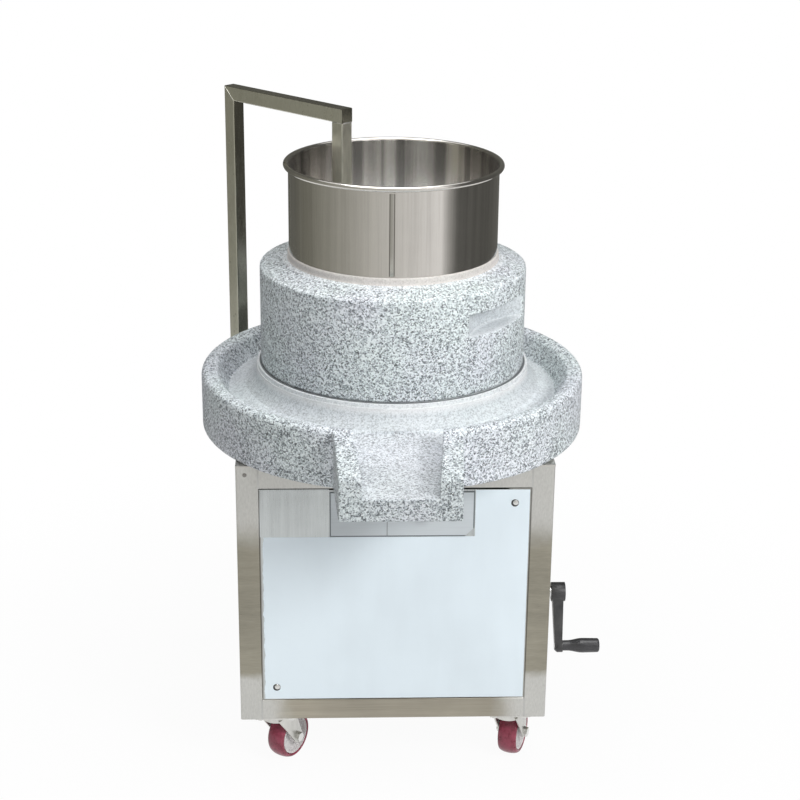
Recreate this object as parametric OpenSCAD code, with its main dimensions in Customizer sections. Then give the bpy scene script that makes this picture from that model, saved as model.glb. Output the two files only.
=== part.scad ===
// Stone grain mill on a wheeled steel cabinet.
// The origin is on the mill's vertical axis at floor level, +Z is up and the spout points along -Y.

/* [Cabinet] */
// Width of the cabinet across the front
cab_w = 466; // [420:1:540]
// Distance from the mill's axis forward to the front face
cab_front = 193; // [180:1:230]
// Distance from the mill's axis back to the rear face
cab_back = 233; // [220:1:280]
// Height of the frame from the bottom of its lower rails to the top of its upper rails
frame_h = 416.5; // [390:0.5:480]
// Side of the square frame tube
tube_w = 34; // [25:1:36]
// Wall of the frame tube
tube_wall = 1.5; // [1:0.1:3]
// Outer corner radius of the frame tube
tube_r = 3; // [1:0.5:5]
// Thickness of the top plate
top_t = 3; // [2:0.5:6]
// Thickness of the bottom plate
bottom_t = 3; // [2:0.5:6]
// Thickness of the panel sheets
panel_t = 1.5; // [1:0.1:3]
// Gap round a panel in its opening
panel_gap = 1.5; // [0.5:0.1:3]
// Width of the ledge strips behind the panels
ledge_w = 32; // [28:1:40]
// Thickness of the ledge strips
ledge_t = 3; // [2:0.5:5]
// Distance from a panel's edge to its screws
screw_inset = 21; // [16:1:24]
// Diameter of a panel screw's shank
screw_d = 4; // [3:0.5:5]
// Number of louvre slots in each column of the rear panel
louvres = 7; // [4:1:8]

/* [Controls] */
// Width of the control plate
plate_w = 213; // [200:1:240]
// Height of the control plate
plate_h = 72; // [64:1:80]
// Distance of the control plate's centre to the right of the mill's axis
plate_x = 10; // [0:1:20]
// Distance of the control plate's upper edge below the top of the frame
plate_drop = 38; // [36:1:60]
// Corner cut of the control plate
plate_cut = 14; // [6:1:24]
// Distance between the two buttons and the knob
control_pitch = 46; // [40:1:56]
// Diameter of a push button
button_d = 18; // [14:1:22]
// Travel of a push button
button_travel = 3; // [2:0.5:5]
// Diameter of the speed knob
knob_d = 28; // [22:1:34]
// Diameter of the lead hole in the cable gland
gland_bore = 9; // [7:0.5:11]

/* [Stones] */
// Diameter of the runner stone
runner_d = 400; // [380:1:410]
// Height of the runner stone up to its top face
runner_h = 161; // [140:1:190]
// Fall of the runner stone's top face from the hopper seat to its edge
runner_fall = 11; // [4:1:20]
// Edge radius round the top of the runner stone
runner_edge = 2.5; // [2:0.5:12]
// Height of the raised seat under the hopper
seat_h = 12; // [6:1:20]
// Diameter of the feed eye through the runner stone
eye_d = 90; // [70:1:100]
// Depth of the feed dish down to the eye
dish_h = 29; // [15:1:40]
// Height of a hand-hold slot
hold_h = 34; // [30:1:44]
// Width of a hand-hold slot round the stone
hold_w = 143; // [120:1:160]
// Depth of a hand-hold slot at its middle
hold_depth = 34; // [28:1:40]
// Height of the middle of a hand-hold above the runner's underside
hold_z = 104.5; // [90:0.5:110]
// Angle of the hand-hold from the front towards the right
hold_angle = 52; // [40:1:90]
// Running gap between the two stones with the runner lowered
stone_gap = 0.5; // [0.4:0.1:2]
// Diameter of the bed stone
bed_d = 411; // [405:1:420]
// Height of the bed stone above its pocket
bed_h = 55; // [50:1:70]
// Height of the bed stone that shows above the trough floor
bed_show = 25; // [15:1:30]
// Depth of the grinding furrows
furrow_h = 3; // [1:0.5:5]
// Number of furrows in each stone
furrows = 10; // [6:1:14]

/* [Trough] */
// Outer diameter of the trough stone
trough_d = 582; // [570:1:620]
// Height of the trough stone from its bed to the top of the rim
trough_h = 88; // [84:1:100]
// Width of the rim
rim_w = 25; // [22:1:30]
// Edge radius on the outside of the rim
rim_edge = 9; // [5:1:12]
// Fall of the rim towards its inner edge
rim_fall = 3; // [1:0.5:6]
// Edge radius on the inside of the rim
rim_lip = 4; // [2:0.5:6]
// Depth of the trough floor below the rim at its lowest ring
trough_depth = 33; // [26:1:38]
// Radial run of the sloping inner wall
wall_run = 17; // [10:1:22]
// Edge radius round the foot of the trough stone
foot_edge = 4; // [2:1:10]
// Reach of the spout's front face from the mill's axis
spout_reach = 390; // [370:1:420]
// Width of the spout block at its front
spout_w = 169; // [150:1:176]
// Width of the spout block where it leaves the rim
spout_root_w = 182; // [178:1:196]
// Height of the spout's cheeks at the front
cheek_h = 61; // [54:1:70]
// Height of the chute floor at the lip
lip_h = 32; // [24:1:40]
// Width of the chute at the lip
lip_w = 105; // [90:1:112]
// Width of the chute where it leaves the trough
chute_w = 134; // [120:1:140]
// How far the chute cuts into the trough's floor
chute_in = 16; // [8:1:20]
// Step down from the trough's floor into the chute
chute_step = 2.5; // [1:0.5:5]

/* [Hopper] */
// Outer diameter of the hopper wall
hopper_d = 312; // [290:1:330]
// Height of the hopper wall up to the middle of its bead
hopper_h = 129; // [110:1:150]
// Thickness of the hopper sheet
hopper_t = 1.5; // [1:0.1:3]
// Diameter of the rolled bead
bead_d = 8; // [6:0.5:12]
// Width of the inward flange at the hopper's foot
hopper_flange = 16; // [10:1:20]

/* [Stirrer arm] */
// Side of the square arm tube
arm_w = 22; // [18:1:24]
// Wall of the arm tube
arm_wall = 1.5; // [1:0.1:3]
// Corner radius of the arm tube
arm_r = 2; // [1:0.5:3]
// Height of the arm's top face above the hopper's bead
arm_rise = 67; // [62:1:90]
// Distance of the drop tube from the mill's axis
drop_r = 107.5; // [90:0.5:115]
// Length of the drop tube down from the arm's top face
drop_len = 155; // [120:1:158]
// Wall of the socket that holds the post
socket_wall = 3; // [2:0.5:5]
// Length of the socket
socket_h = 130; // [90:1:180]
// Width of the socket's wings on the cabinet
wing_w = 44; // [36:1:60]

/* [Drive] */
// Diameter of the spindle
spindle_d = 30; // [26:1:34]
// Diameter of the driven pulley
driven_d = 180; // [160:1:190]
// Diameter of the motor pulley
motor_pulley_d = 70; // [60:1:80]
// Distance from the spindle back to the motor's axis
motor_y = 150; // [145:1:160]
// Diameter of the motor body
motor_d = 116; // [100:1:124]
// Height of the belt line above the bottom plate
belt_z = 277; // [270:1:285]
// Width of the belt
belt_w = 12; // [8:1:16]
// Thickness of the belt
belt_t = 9; // [6:1:12]
// Travel of the lift
lift_travel = 30; // [10:1:35]

/* [Crank] */
// Height of the crank shaft above the floor
crank_z = 213; // [200:1:225]
// Diameter of the crank shaft
crank_shaft_d = 18; // [14:1:20]
// Length of the boss that stands out from the side panel
boss_len = 22; // [14:1:30]
// Distance between the crank shaft and the grip
crank_radius = 98; // [70:1:105]
// Diameter of the crank hub
hub_d = 31; // [28:1:40]
// Length of the crank hub
hub_len = 22; // [16:1:30]
// Thickness of the crank arm at the grip
crank_arm_t = 13; // [10:1:18]
// Length of the grip
grip_len = 60; // [45:1:80]
// Largest diameter of the grip
grip_d = 24; // [20:1:28]

/* [Castors] */
// Height of a castor from the floor to the frame
castor_h = 96.5; // [96:0.5:110]
// Diameter of a wheel
wheel_d = 75; // [66:1:77]
// Width of a tyre
tyre_w = 30; // [24:1:32]
// Thickness of a tyre
tyre_t = 8; // [5:0.5:12]
// Trail of the wheel behind the swivel
trail = 30; // [26:1:34]
// Distance of a swivel from the cabinet's sides
castor_in_x = 53; // [48:1:60]
// Distance of a swivel from the cabinet's front and rear
castor_in_y = 35; // [33:1:45]
// Diameter of the wheel axle
axle_d = 8; // [6:1:10]

/* [Hidden] */
$fn = 96;
EPS = 0.01;
// Clearances: running shafts, pieces of different bodies, and loose holes
RUN = 0.06;
CLEAR = 0.3;
HOLE = 0.2;

// Heights up the mill
frame_z = castor_h;
frame_top = frame_z + frame_h;
top_z = frame_top + top_t;
open_z0 = frame_z + tube_w;
open_z1 = frame_top - tube_w;
floor_z = open_z0 + bottom_t;
rim_z = top_z + trough_h;
foot_z = rim_z - trough_depth;
bed_foot_z = top_z + trough_h - 14;
bed_z = bed_foot_z + bed_show;
pocket_z = bed_z - bed_h;
runner_z = bed_z + stone_gap;
runner_top = runner_z + runner_h;
seat_z = runner_top + seat_h;
bead_z = seat_z + hopper_h;
arm_top = bead_z + arm_rise;

// Plan of the cabinet
side_x = cab_w / 2;
open_x = side_x - tube_w;
open_y0 = -cab_front + tube_w;
open_y1 = cab_back - tube_w;

// Stones
runner_r = runner_d / 2;
bed_r = bed_d / 2;
trough_r = trough_d / 2;
rim_in = trough_r - rim_w;
rim_mid = trough_r - rim_w / 2;
wall_foot_r = rim_in - wall_run;
pocket_r = bed_r + HOLE;
hopper_r = hopper_d / 2;
seat_r = hopper_r + 2;
chute_start = sqrt(wall_foot_r * wall_foot_r - chute_w * chute_w / 4) - chute_in;
floor_fall = (bed_foot_z - foot_z) / (wall_foot_r - bed_r - 1);
chute_z = foot_z + floor_fall * (wall_foot_r - norm([chute_w / 2, chute_start])) - chute_step;
cheek_start = sqrt(rim_mid * rim_mid - spout_root_w * spout_root_w / 4) - 10;

// Drive
spindle_r = spindle_d / 2;
bush_r = spindle_r + 15;
nose_r = spindle_r - 3;
rynd_w = eye_d * 0.42;
rynd_len = eye_d + 64;
rynd_h = 18;
rynd_z = runner_z + 6;
belt_mid = floor_z + belt_z;
sleeve_r = spindle_r + 10;
bearing_r = sleeve_r + 15;
bearing_h = 16;
housing_r = bearing_r + 12;
housing_z0 = belt_mid + 27;
pulley_h = belt_w + 16;
groove_h = belt_w + 1;
collar_h = 10;
thrust_h = 12;
thrust_z = belt_mid - pulley_h / 2 - lift_travel - collar_h - thrust_h - 12;
jack_w = 90;
jack_head_h = 18;
jack_top = crank_z + 40;
jack_r = 14;
motor_shaft_r = 10;
key_w = 8;
key_out = 3;

// Crank, stacked outwards from the right side
crank_shaft_r = crank_shaft_d / 2;
boss_r = crank_shaft_r + 8;
boss_x = side_x + boss_len;
hub_x0 = boss_x + 5;
hub_x1 = hub_x0 + hub_len;
crank_arm_x0 = hub_x1 - crank_arm_t;
grip_x0 = hub_x1 + CLEAR;
grip_bolt_r = 4;

// Stirrer arm on the diagonal through the rear left corner
arm_cap = 3;
socket_w = arm_w + 2 * (socket_wall + HOLE);
socket_gap = 3.5;
wing_t = 5;
post_r = norm([side_x, cab_back]) + socket_gap + socket_w / 2;
socket_z0 = top_z - socket_h;

// Castors: front left, front right, rear left, rear right, with the way each wheel trails
wheel_r = wheel_d / 2;
castor_x = side_x - castor_in_x;
castor_y0 = -cab_front + castor_in_y;
castor_y1 = cab_back - castor_in_y;
castor_spots = [
    [-castor_x, castor_y0, 55],
    [castor_x, castor_y0, 68],
    [-castor_x, castor_y1, 118],
    [castor_x, castor_y1, 62]
];
plate_t = 3;
race_h = 4;
race_r = 21;
fork_top = castor_h - plate_t - race_h - CLEAR;
fork_head_h = 8;
leg_t = 2.5;
hub_half = tyre_w / 2 + 2;
leg_in = hub_half + CLEAR;
leg_out = leg_in + leg_t;
axle_r = axle_d / 2;
kingpin_r = 5;

// Controls
plate_z = frame_top - plate_drop - plate_h;
control_z = plate_z + plate_h * 0.68;
control_x = [-control_pitch, 0, control_pitch];
socket_r = button_d / 2 + 2.5;
knob_shaft_r = 3;
button_r = button_d / 2;
front_y = -cab_front;
control_front = front_y - 1;
socket_back = front_y + 34;
control_box_d = 58;
gland_x = cab_w * 0.3;
gland_z = frame_z + 76;

// Handed-out lists of panel screw places, as plan offsets along and up each opening
front_half = open_x - panel_gap;
screw_z = [open_z0 + panel_gap + screw_inset, open_z1 - panel_gap - screw_inset];
screw_x = [-front_half + screw_inset, front_half - screw_inset];
screw_y = [open_y0 + panel_gap + screw_inset, open_y1 - panel_gap - screw_inset];

// Helpers

function arc(cx, cy, r, a0, a1, steps) =
    [for (i = [0 : steps]) [cx + r * cos(a0 + (a1 - a0) * i / steps), cy + r * sin(a0 + (a1 - a0) * i / steps)]];

// Outline of a square with rounded corners, about its centre
function rounded(w, r) = concat(
    arc(w / 2 - r, w / 2 - r, r, 0, 90, 5),
    arc(-w / 2 + r, w / 2 - r, r, 90, 180, 5),
    arc(-w / 2 + r, -w / 2 + r, r, 180, 270, 5),
    arc(w / 2 - r, -w / 2 + r, r, 270, 360, 5)
);

// Hollow square tube standing on z = 0
module square_tube(w, wall, r, len) {
    difference() {
        linear_extrude(len) polygon(rounded(w, r));
        translate([0, 0, -1]) linear_extrude(len + 2) square(w - 2 * wall, center = true);
    }
}

// Box given by its two corners
module box(lo, hi) {
    translate(lo) cube(hi - lo);
}

// Ring standing on z = 0
module ring(r_out, r_in, h) {
    difference() {
        cylinder(r = r_out, h = h);
        translate([0, 0, -1]) cylinder(r = r_in, h = h + 2);
    }
}

// Turns +Z to point out of a face of the cabinet: 0 front, 1 right, 2 rear, 3 left
module facing(side) {
    rotate([0, 0, 90 * side]) rotate([90, 0, 0]) children();
}

// Puts children at a screw's place on the outside of each panel; the front panel has two, at opposite corners
module at_screws() {
    for (i = [0, 1]) {
        translate([screw_x[i], -cab_front, screw_z[i]]) facing(0) children();
    }
    for (z = screw_z) {
        for (x = screw_x) {
            translate([x, cab_back, z]) facing(2) children();
        }
        for (y = screw_y) {
            translate([side_x, y, z]) facing(1) children();
            translate([-side_x, y, z]) facing(3) children();
        }
    }
}

module screw_holes() {
    at_screws() translate([0, 0, -20]) cylinder(d = screw_d + 2 * HOLE, h = 30);
}

// Puts children in the diagonal plane of the stirrer arm, with +X pointing out to the post
module on_diagonal() {
    rotate([0, 0, atan2(cab_back, -side_x)]) children();
}

// Frame

module frame_posts() {
    color("#8f8d86")
    for (x = [-1, 1]) {
        for (y = [-cab_front + tube_w / 2, cab_back - tube_w / 2]) {
            translate([x * (side_x - tube_w / 2), y, frame_z]) square_tube(tube_w, tube_wall, tube_r, frame_h);
        }
    }
}

module frame_rails() {
    color("#99978f")
    for (z = [frame_z + tube_w / 2, frame_top - tube_w / 2]) {
        for (y = [-cab_front + tube_w / 2, cab_back - tube_w / 2]) {
            translate([-open_x, y, z]) rotate([0, 90, 0]) square_tube(tube_w, tube_wall, tube_r, 2 * open_x);
        }
        for (x = [-1, 1]) {
            translate([x * (side_x - tube_w / 2), open_y1, z]) rotate([90, 0, 0])
                square_tube(tube_w, tube_wall, tube_r, open_y1 - open_y0);
        }
    }
}

module top_plate() {
    color("#b9b8b2")
    difference() {
        box([-side_x, -cab_front, frame_top], [side_x, cab_back, top_z]);
        translate([0, 0, frame_top - 1]) cylinder(r = spindle_r + 25, h = top_t + 2);
    }
}

module bottom_plate() {
    color("#8c8b86")
    box([-open_x, -cab_front + tube_w, open_z0 - EPS], [open_x, cab_back - tube_w, floor_z]);
}

// Sheet standing in the front or rear opening with its outside at y
module cross_sheet(y0, y1) {
    box([-front_half, y0, open_z0 + panel_gap], [front_half, y1, open_z1 - panel_gap]);
}

// Sheet standing in a side opening
module side_sheet(x0, x1) {
    box([x0, open_y0 + panel_gap, open_z0 + panel_gap], [x1, open_y1 - panel_gap, open_z1 - panel_gap]);
}

module front_panel() {
    color("#dfe7ee")
    difference() {
        cross_sheet(front_y, front_y + panel_t);
        screw_holes();
        for (x = control_x) {
            translate([plate_x + x, front_y - 5, control_z]) rotate([-90, 0, 0]) cylinder(r = socket_r + HOLE, h = 20);
        }
    }
}

module left_panel() {
    color("#a9a8a1")
    difference() {
        side_sheet(-side_x, -side_x + panel_t);
        screw_holes();
    }
}

module right_panel() {
    color("#a9a8a1")
    difference() {
        side_sheet(side_x - panel_t, side_x);
        screw_holes();
        translate([side_x - 10, 0, crank_z]) rotate([0, 90, 0]) cylinder(r = boss_r + HOLE, h = 20);
    }
}

// Rear sheet with two columns of air slots and the hole for the cable gland
module rear_panel() {
    slot_h = 5;
    slot_w = cab_w * 0.25;
    color("#a9a8a1")
    difference() {
        cross_sheet(cab_back - panel_t, cab_back);
        screw_holes();
        for (x = [-1, 1]) {
            for (i = [0 : louvres - 1]) {
                translate([x * slot_w * 0.68 - slot_w / 2, cab_back - 10, open_z1 - 70 - i * 18]) cube([slot_w, 20, slot_h]);
            }
        }
        translate([gland_x, cab_back - 10, gland_z]) rotate([-90, 0, 0]) cylinder(r = gland_bore / 2 + 3.5 + HOLE, h = 20);
    }
}

// Strips welded inside the openings, which the panels are screwed to
module panel_ledges() {
    h = open_z1 - open_z0;
    color("#85847e")
    difference() {
        for (s = [-1, 1]) {
            for (y = [front_y + panel_t, cab_back - panel_t - ledge_t]) {
                translate([s * (open_x - ledge_w / 2) - ledge_w / 2, y, open_z0]) cube([ledge_w, ledge_t, h]);
            }
            for (y = [open_y0, open_y1 - ledge_w]) {
                translate([s * (side_x - panel_t - ledge_t / 2) - ledge_t / 2, y, open_z0]) cube([ledge_t, ledge_w, h]);
            }
        }
        screw_holes();
    }
}

module panel_screws() {
    head_r = screw_d + 0.5;
    head_h = screw_d * 0.55;
    color("#c9c9c4")
    at_screws() {
        rotate_extrude() polygon(concat([[0, 0]], arc(0, 0, head_r, 0, 90, 6) * [[1, 0], [0, head_h / head_r]]));
        translate([0, 0, -panel_t - ledge_t - 2]) cylinder(d = screw_d, h = panel_t + ledge_t + 2 + EPS);
    }
}

// Controls

module control_plate() {
    x0 = plate_x - plate_w / 2;
    x1 = plate_x + plate_w / 2;
    color("#c3c8cc")
    difference() {
        translate([0, front_y, 0]) rotate([90, 0, 0]) linear_extrude(front_y - control_front)
            polygon([[x0, plate_z], [x1 - plate_cut, plate_z], [x1, plate_z + plate_cut], [x1, plate_z + plate_h],
                     [x0, plate_z + plate_h]]);
        for (x = control_x) {
            translate([plate_x + x, front_y - 5, control_z]) rotate([-90, 0, 0]) cylinder(r = socket_r + HOLE, h = 20);
        }
    }
}

// Collars that hold the two buttons and the knob's shaft
module control_sockets() {
    color("#2b2b2d")
    for (i = [0 : 2]) {
        bore = i == 2 ? knob_shaft_r + CLEAR : button_r + CLEAR;
        translate([plate_x + control_x[i], socket_back, control_z]) rotate([90, 0, 0]) difference() {
            union() {
                cylinder(r = socket_r, h = socket_back - control_front);
                translate([0, 0, socket_back - control_front]) cylinder(r = socket_r + 2.5, h = 2.5);
            }
            translate([0, 0, 6]) cylinder(r = bore, h = 60);
        }
    }
}

// Round push button with a shallow dome, sitting in its collar
module push_button(x, tint) {
    stem = socket_back - control_front - 6 - button_travel - 1;
    color(tint)
    translate([plate_x + x, socket_back - 6 - button_travel - 1, control_z]) rotate([90, 0, 0]) {
        cylinder(r = button_r, h = stem + 6);
        translate([0, 0, stem + 6 - EPS])
            rotate_extrude() polygon(concat([[0, 0]], arc(0, 0, button_r, 0, 90, 6) * [[1, 0], [0, 0.2]]));
    }
}

module start_button() {
    push_button(control_x[0], "#3f8f4f");
}

module stop_button() {
    push_button(control_x[1], "#b3312c");
}

module speed_knob() {
    skirt = 6;
    cap = 12;
    y0 = control_front - 2.5 - CLEAR;
    color("#1f1f21")
    translate([plate_x + control_x[2], y0, control_z]) rotate([90, 0, 0]) difference() {
        union() {
            cylinder(d = knob_d, h = skirt);
            cylinder(d = knob_d * 0.76, h = skirt + cap);
            translate([0, 0, -20]) cylinder(r = knob_shaft_r, h = 20 + EPS);
        }
        for (a = [0 : 30 : 330]) {
            rotate([0, 0, a + 15]) translate([knob_d * 0.42, 0, skirt + 1]) cylinder(d = knob_d * 0.12, h = cap, $fn = 24);
        }
        translate([-0.6, knob_d * 0.15, skirt + cap - 0.8]) cube([1.2, knob_d * 0.18, 2]);
    }
}

module control_box() {
    half = control_pitch + socket_r + 12;
    color("#4b4d50")
    box([plate_x - half, socket_back, control_z - 28], [plate_x + half, socket_back + control_box_d, control_z + 20]);
}

module cable_gland() {
    body_r = gland_bore / 2 + 3.5;
    color("#26272a")
    translate([gland_x, cab_back, gland_z]) rotate([-90, 0, 0]) difference() {
        union() {
            translate([0, 0, -14]) cylinder(r = body_r, h = 14 + EPS);
            cylinder(r = body_r + 3.5, h = 7, $fn = 6);
            translate([0, 0, 7 - EPS]) cylinder(r1 = body_r + 1.5, r2 = body_r - 0.5, h = 9);
            translate([0, 0, -panel_t - 4]) cylinder(r = body_r + 3, h = 4, $fn = 6);
        }
        translate([0, 0, -20]) cylinder(d = gland_bore, h = 50);
    }
}

// Stones

// Half section of the trough stone: foot, rounded rim, sloping wall, floor and the pocket for the bed stone
module trough_section() {
    edge_mid = [trough_r - rim_edge, rim_z - rim_edge];
    lip_mid = [rim_in + rim_lip, rim_z - rim_fall - rim_lip];
    across = lip_mid - edge_mid;
    down = [wall_foot_r, foot_z] - lip_mid;
    rim_turn = atan2(across[1], across[0]) - acos((rim_edge - rim_lip) / norm(across));
    wall_turn = 360 + atan2(down[1], down[0]) - acos(rim_lip / norm(down));
    polygon(concat(
        [[bush_r + 4, top_z]],
        arc(trough_r - foot_edge, top_z + foot_edge, foot_edge, -90, 0, 5),
        arc(edge_mid[0], edge_mid[1], rim_edge, 0, rim_turn, 10),
        arc(lip_mid[0], lip_mid[1], rim_lip, rim_turn, wall_turn, 5),
        [[wall_foot_r, foot_z], [bed_r + 1, bed_foot_z], [pocket_r, bed_foot_z], [pocket_r, pocket_z],
         [bush_r + 4, pocket_z]]
    ));
}

// Spout block that grows out of the trough's wall and narrows, with cheeks falling to the front
module spout_block() {
    taper = (spout_root_w - spout_w) / 2 / (spout_reach - rim_mid);
    root = spout_root_w / 2 + taper * (rim_mid - cheek_start);
    difference() {
        intersection() {
            translate([-spout_root_w, 0, 0]) rotate([90, 0, 90]) linear_extrude(2 * spout_root_w)
                polygon([[-cheek_start, top_z], [-spout_reach, top_z], [-spout_reach, top_z + cheek_h],
                         [-rim_mid, rim_z - rim_fall], [-cheek_start, rim_z - rim_fall]]);
            translate([0, 0, top_z - 1]) linear_extrude(trough_h + 2)
                polygon([[-root - taper * 5, 5 - cheek_start], [-spout_w / 2 + taper * 5, -spout_reach - 5],
                         [spout_w / 2 - taper * 5, -spout_reach - 5], [root + taper * 5, 5 - cheek_start]]);
        }
        translate([0, 0, top_z - 1]) cylinder(r = rim_mid, h = trough_h + 2);
    }
}

// Space that the chute takes: a plan that narrows to the lip above a falling floor
module chute_space() {
    intersection() {
        translate([0, 0, top_z]) linear_extrude(trough_h + 20)
            polygon([[-chute_w / 2, -chute_start], [-lip_w / 2, -spout_reach - 1], [lip_w / 2, -spout_reach - 1],
                     [chute_w / 2, -chute_start]]);
        translate([-chute_w, 0, 0]) rotate([90, 0, 90]) linear_extrude(2 * chute_w)
            polygon([[-chute_start, chute_z], [-spout_reach - 2, top_z + lip_h], [-spout_reach - 2, rim_z + 10],
                     [-chute_start, rim_z + 10]]);
    }
}

module trough_stone() {
    color("#b9bcc0")
    difference() {
        union() {
            rotate_extrude() trough_section();
            spout_block();
        }
        chute_space();
    }
}

// Straight furrows set off from the radius, as a dressed millstone has them
module furrow_cuts(z, h) {
    r0 = bush_r + 30;
    r1 = runner_r - 9;
    for (i = [0 : furrows - 1]) {
        rotate([0, 0, 360 / furrows * i]) translate([r0, bush_r, z]) cube([r1 - r0 - 12, 7, h]);
    }
}

module bed_stone() {
    color("#aeb2b6")
    difference() {
        translate([0, 0, pocket_z]) ring(bed_r, bush_r, bed_h);
        furrow_cuts(bed_z - furrow_h, furrow_h + 1);
    }
}

module bed_bush() {
    color("#b08d57")
    translate([0, 0, pocket_z]) ring(bush_r, spindle_r + RUN, bed_h - 8);
}

// Half section of the runner stone with its falling top face, eased edge, hopper seat, feed dish and eye
module runner_section() {
    eye_r = eye_d / 2;
    lean = atan2(runner_fall, runner_r - seat_r);
    edge_x = runner_r - runner_edge;
    edge_z = runner_top - tan(lean) * (edge_x - seat_r) - runner_edge / cos(lean);
    polygon(concat(
        [[eye_r, runner_z], [runner_r - 2, runner_z], [runner_r, runner_z + 2]],
        arc(edge_x, edge_z, runner_edge, 0, 90 - lean, 8),
        [[seat_r, runner_top], [seat_r, seat_z], [hopper_r - hopper_flange, seat_z], [eye_r, seat_z - dish_h]]
    ));
}

// Scooped hand-hold at the stone's right side, as a round cutter leaves it
module hand_hold() {
    half = hold_w / 2;
    rise = sqrt(runner_r * runner_r - half * half) - runner_r + hold_depth;
    cutter_r = (half * half + rise * rise) / (2 * rise);
    rotate([0, 0, hold_angle - 90]) translate([runner_r - hold_depth + cutter_r, 0, runner_z + hold_z - hold_h / 2])
        cylinder(r = cutter_r, h = hold_h);
}

module runner_stone() {
    color("#a3a8aa")
    difference() {
        rotate_extrude() runner_section();
        hand_hold();
        rotate([0, 0, 180]) hand_hold();
        translate([-rynd_len / 2 - HOLE, -rynd_w / 2 - HOLE, runner_z - 1]) cube([rynd_len + 2 * HOLE, rynd_w + 2 * HOLE,
            rynd_z - runner_z + rynd_h + 1]);
        furrow_cuts(runner_z - 1, furrow_h + 1);
    }
}

// Sheet hopper with a rolled bead at the top and a flange at the foot
module hopper() {
    color("#a39d93")
    rotate_extrude() union() {
        translate([hopper_r - hopper_t, seat_z]) square([hopper_t, hopper_h]);
        translate([hopper_r - hopper_flange, seat_z]) square([hopper_flange, hopper_t]);
        translate([hopper_r - hopper_t / 2 + bead_d / 2, bead_z]) circle(d = bead_d);
    }
}

// Drive

// Steel bar let into the runner's underside across the eye
module rynd() {
    color("#8a8c8f")
    difference() {
        translate([-rynd_len / 2, -rynd_w / 2, rynd_z]) cube([rynd_len, rynd_w, rynd_h]);
        translate([0, 0, rynd_z - 1]) cylinder(r = nose_r, h = rynd_h + 2);
    }
}

// Spindle with its foot collar, the feather that slides in the pulley, and the nose and nut that hold the rynd
module spindle() {
    foot = thrust_z + thrust_h;
    color("#9a9da1")
    union() {
        translate([0, 0, foot]) cylinder(r = spindle_r + 9, h = collar_h);
        translate([0, 0, foot]) cylinder(r = spindle_r, h = rynd_z - foot);
        translate([0, 0, rynd_z - EPS]) cylinder(r = nose_r, h = rynd_h + 8);
        translate([0, 0, rynd_z + rynd_h]) cylinder(r = nose_r + 4, h = 7, $fn = 6);
        translate([0, -key_w / 2, belt_mid - pulley_h]) cube([spindle_r + key_out, key_w, 2 * pulley_h]);
    }
}

module bearing_housing() {
    color("#55585c")
    difference() {
        union() {
            translate([0, 0, housing_z0]) cylinder(r = housing_r, h = frame_top - housing_z0);
            translate([0, 0, frame_top - 10]) cylinder(r = housing_r + 24, h = 10);
        }
        translate([0, 0, housing_z0 - 1]) cylinder(r = bearing_r, h = frame_top - housing_z0 + 2);
    }
}

module pulley_bearings() {
    color("#c4c6c8")
    for (z = [housing_z0 + 6, frame_top - bearing_h - 14]) {
        translate([0, 0, z]) ring(bearing_r, sleeve_r + RUN, bearing_h);
    }
}

// Half section of a grooved pulley, centred on the belt line
module pulley_section(r, bore) {
    difference() {
        translate([bore, belt_mid - pulley_h / 2]) square([r - bore, pulley_h]);
        translate([r - belt_t - 1, belt_mid - groove_h / 2]) square([belt_t + 2, groove_h]);
    }
}

module driven_pulley() {
    r = driven_d / 2;
    color("#6f7377")
    difference() {
        rotate_extrude() union() {
            pulley_section(r, spindle_r + RUN);
            translate([spindle_r + RUN, belt_mid - pulley_h / 2]) square([sleeve_r - spindle_r - RUN,
                frame_top - 12 - belt_mid + pulley_h / 2]);
        }
        for (a = [0 : 60 : 300]) {
            rotate([0, 0, a + 30]) translate([(sleeve_r + r - belt_t) / 2, 0, belt_mid - pulley_h]) cylinder(r = 12, h = 2 * pulley_h);
        }
        translate([0, -key_w / 2 - CLEAR, belt_mid - pulley_h]) cube([spindle_r + key_out + CLEAR, key_w + 2 * CLEAR,
            frame_top - belt_mid + pulley_h]);
    }
}

// Loop of the belt's inner or outer line round both pulleys, grown by a margin
module belt_loop(grow) {
    r1 = driven_d / 2 - belt_t - 1 + grow;
    r2 = motor_pulley_d / 2 - belt_t - 1 + grow;
    tilt = asin((r1 - r2) / motor_y);
    circle(r = r1);
    translate([0, motor_y]) circle(r = r2);
    polygon([[r1 * cos(tilt), r1 * sin(tilt)], [r2 * cos(tilt), motor_y + r2 * sin(tilt)],
             [-r2 * cos(tilt), motor_y + r2 * sin(tilt)], [-r1 * cos(tilt), r1 * sin(tilt)]]);
}

module drive_belt() {
    color("#222222")
    translate([0, 0, belt_mid - belt_w / 2]) linear_extrude(belt_w) difference() {
        belt_loop(CLEAR + belt_t);
        belt_loop(CLEAR);
    }
}

module motor_pulley() {
    color("#6f7377")
    translate([0, motor_y, 0]) rotate_extrude() pulley_section(motor_pulley_d / 2, motor_shaft_r);
}

module motor_shaft() {
    color("#9a9da1")
    translate([0, motor_y, belt_mid - pulley_h / 2 - 34]) cylinder(r = motor_shaft_r, h = 34 + pulley_h + 4);
}

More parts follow.
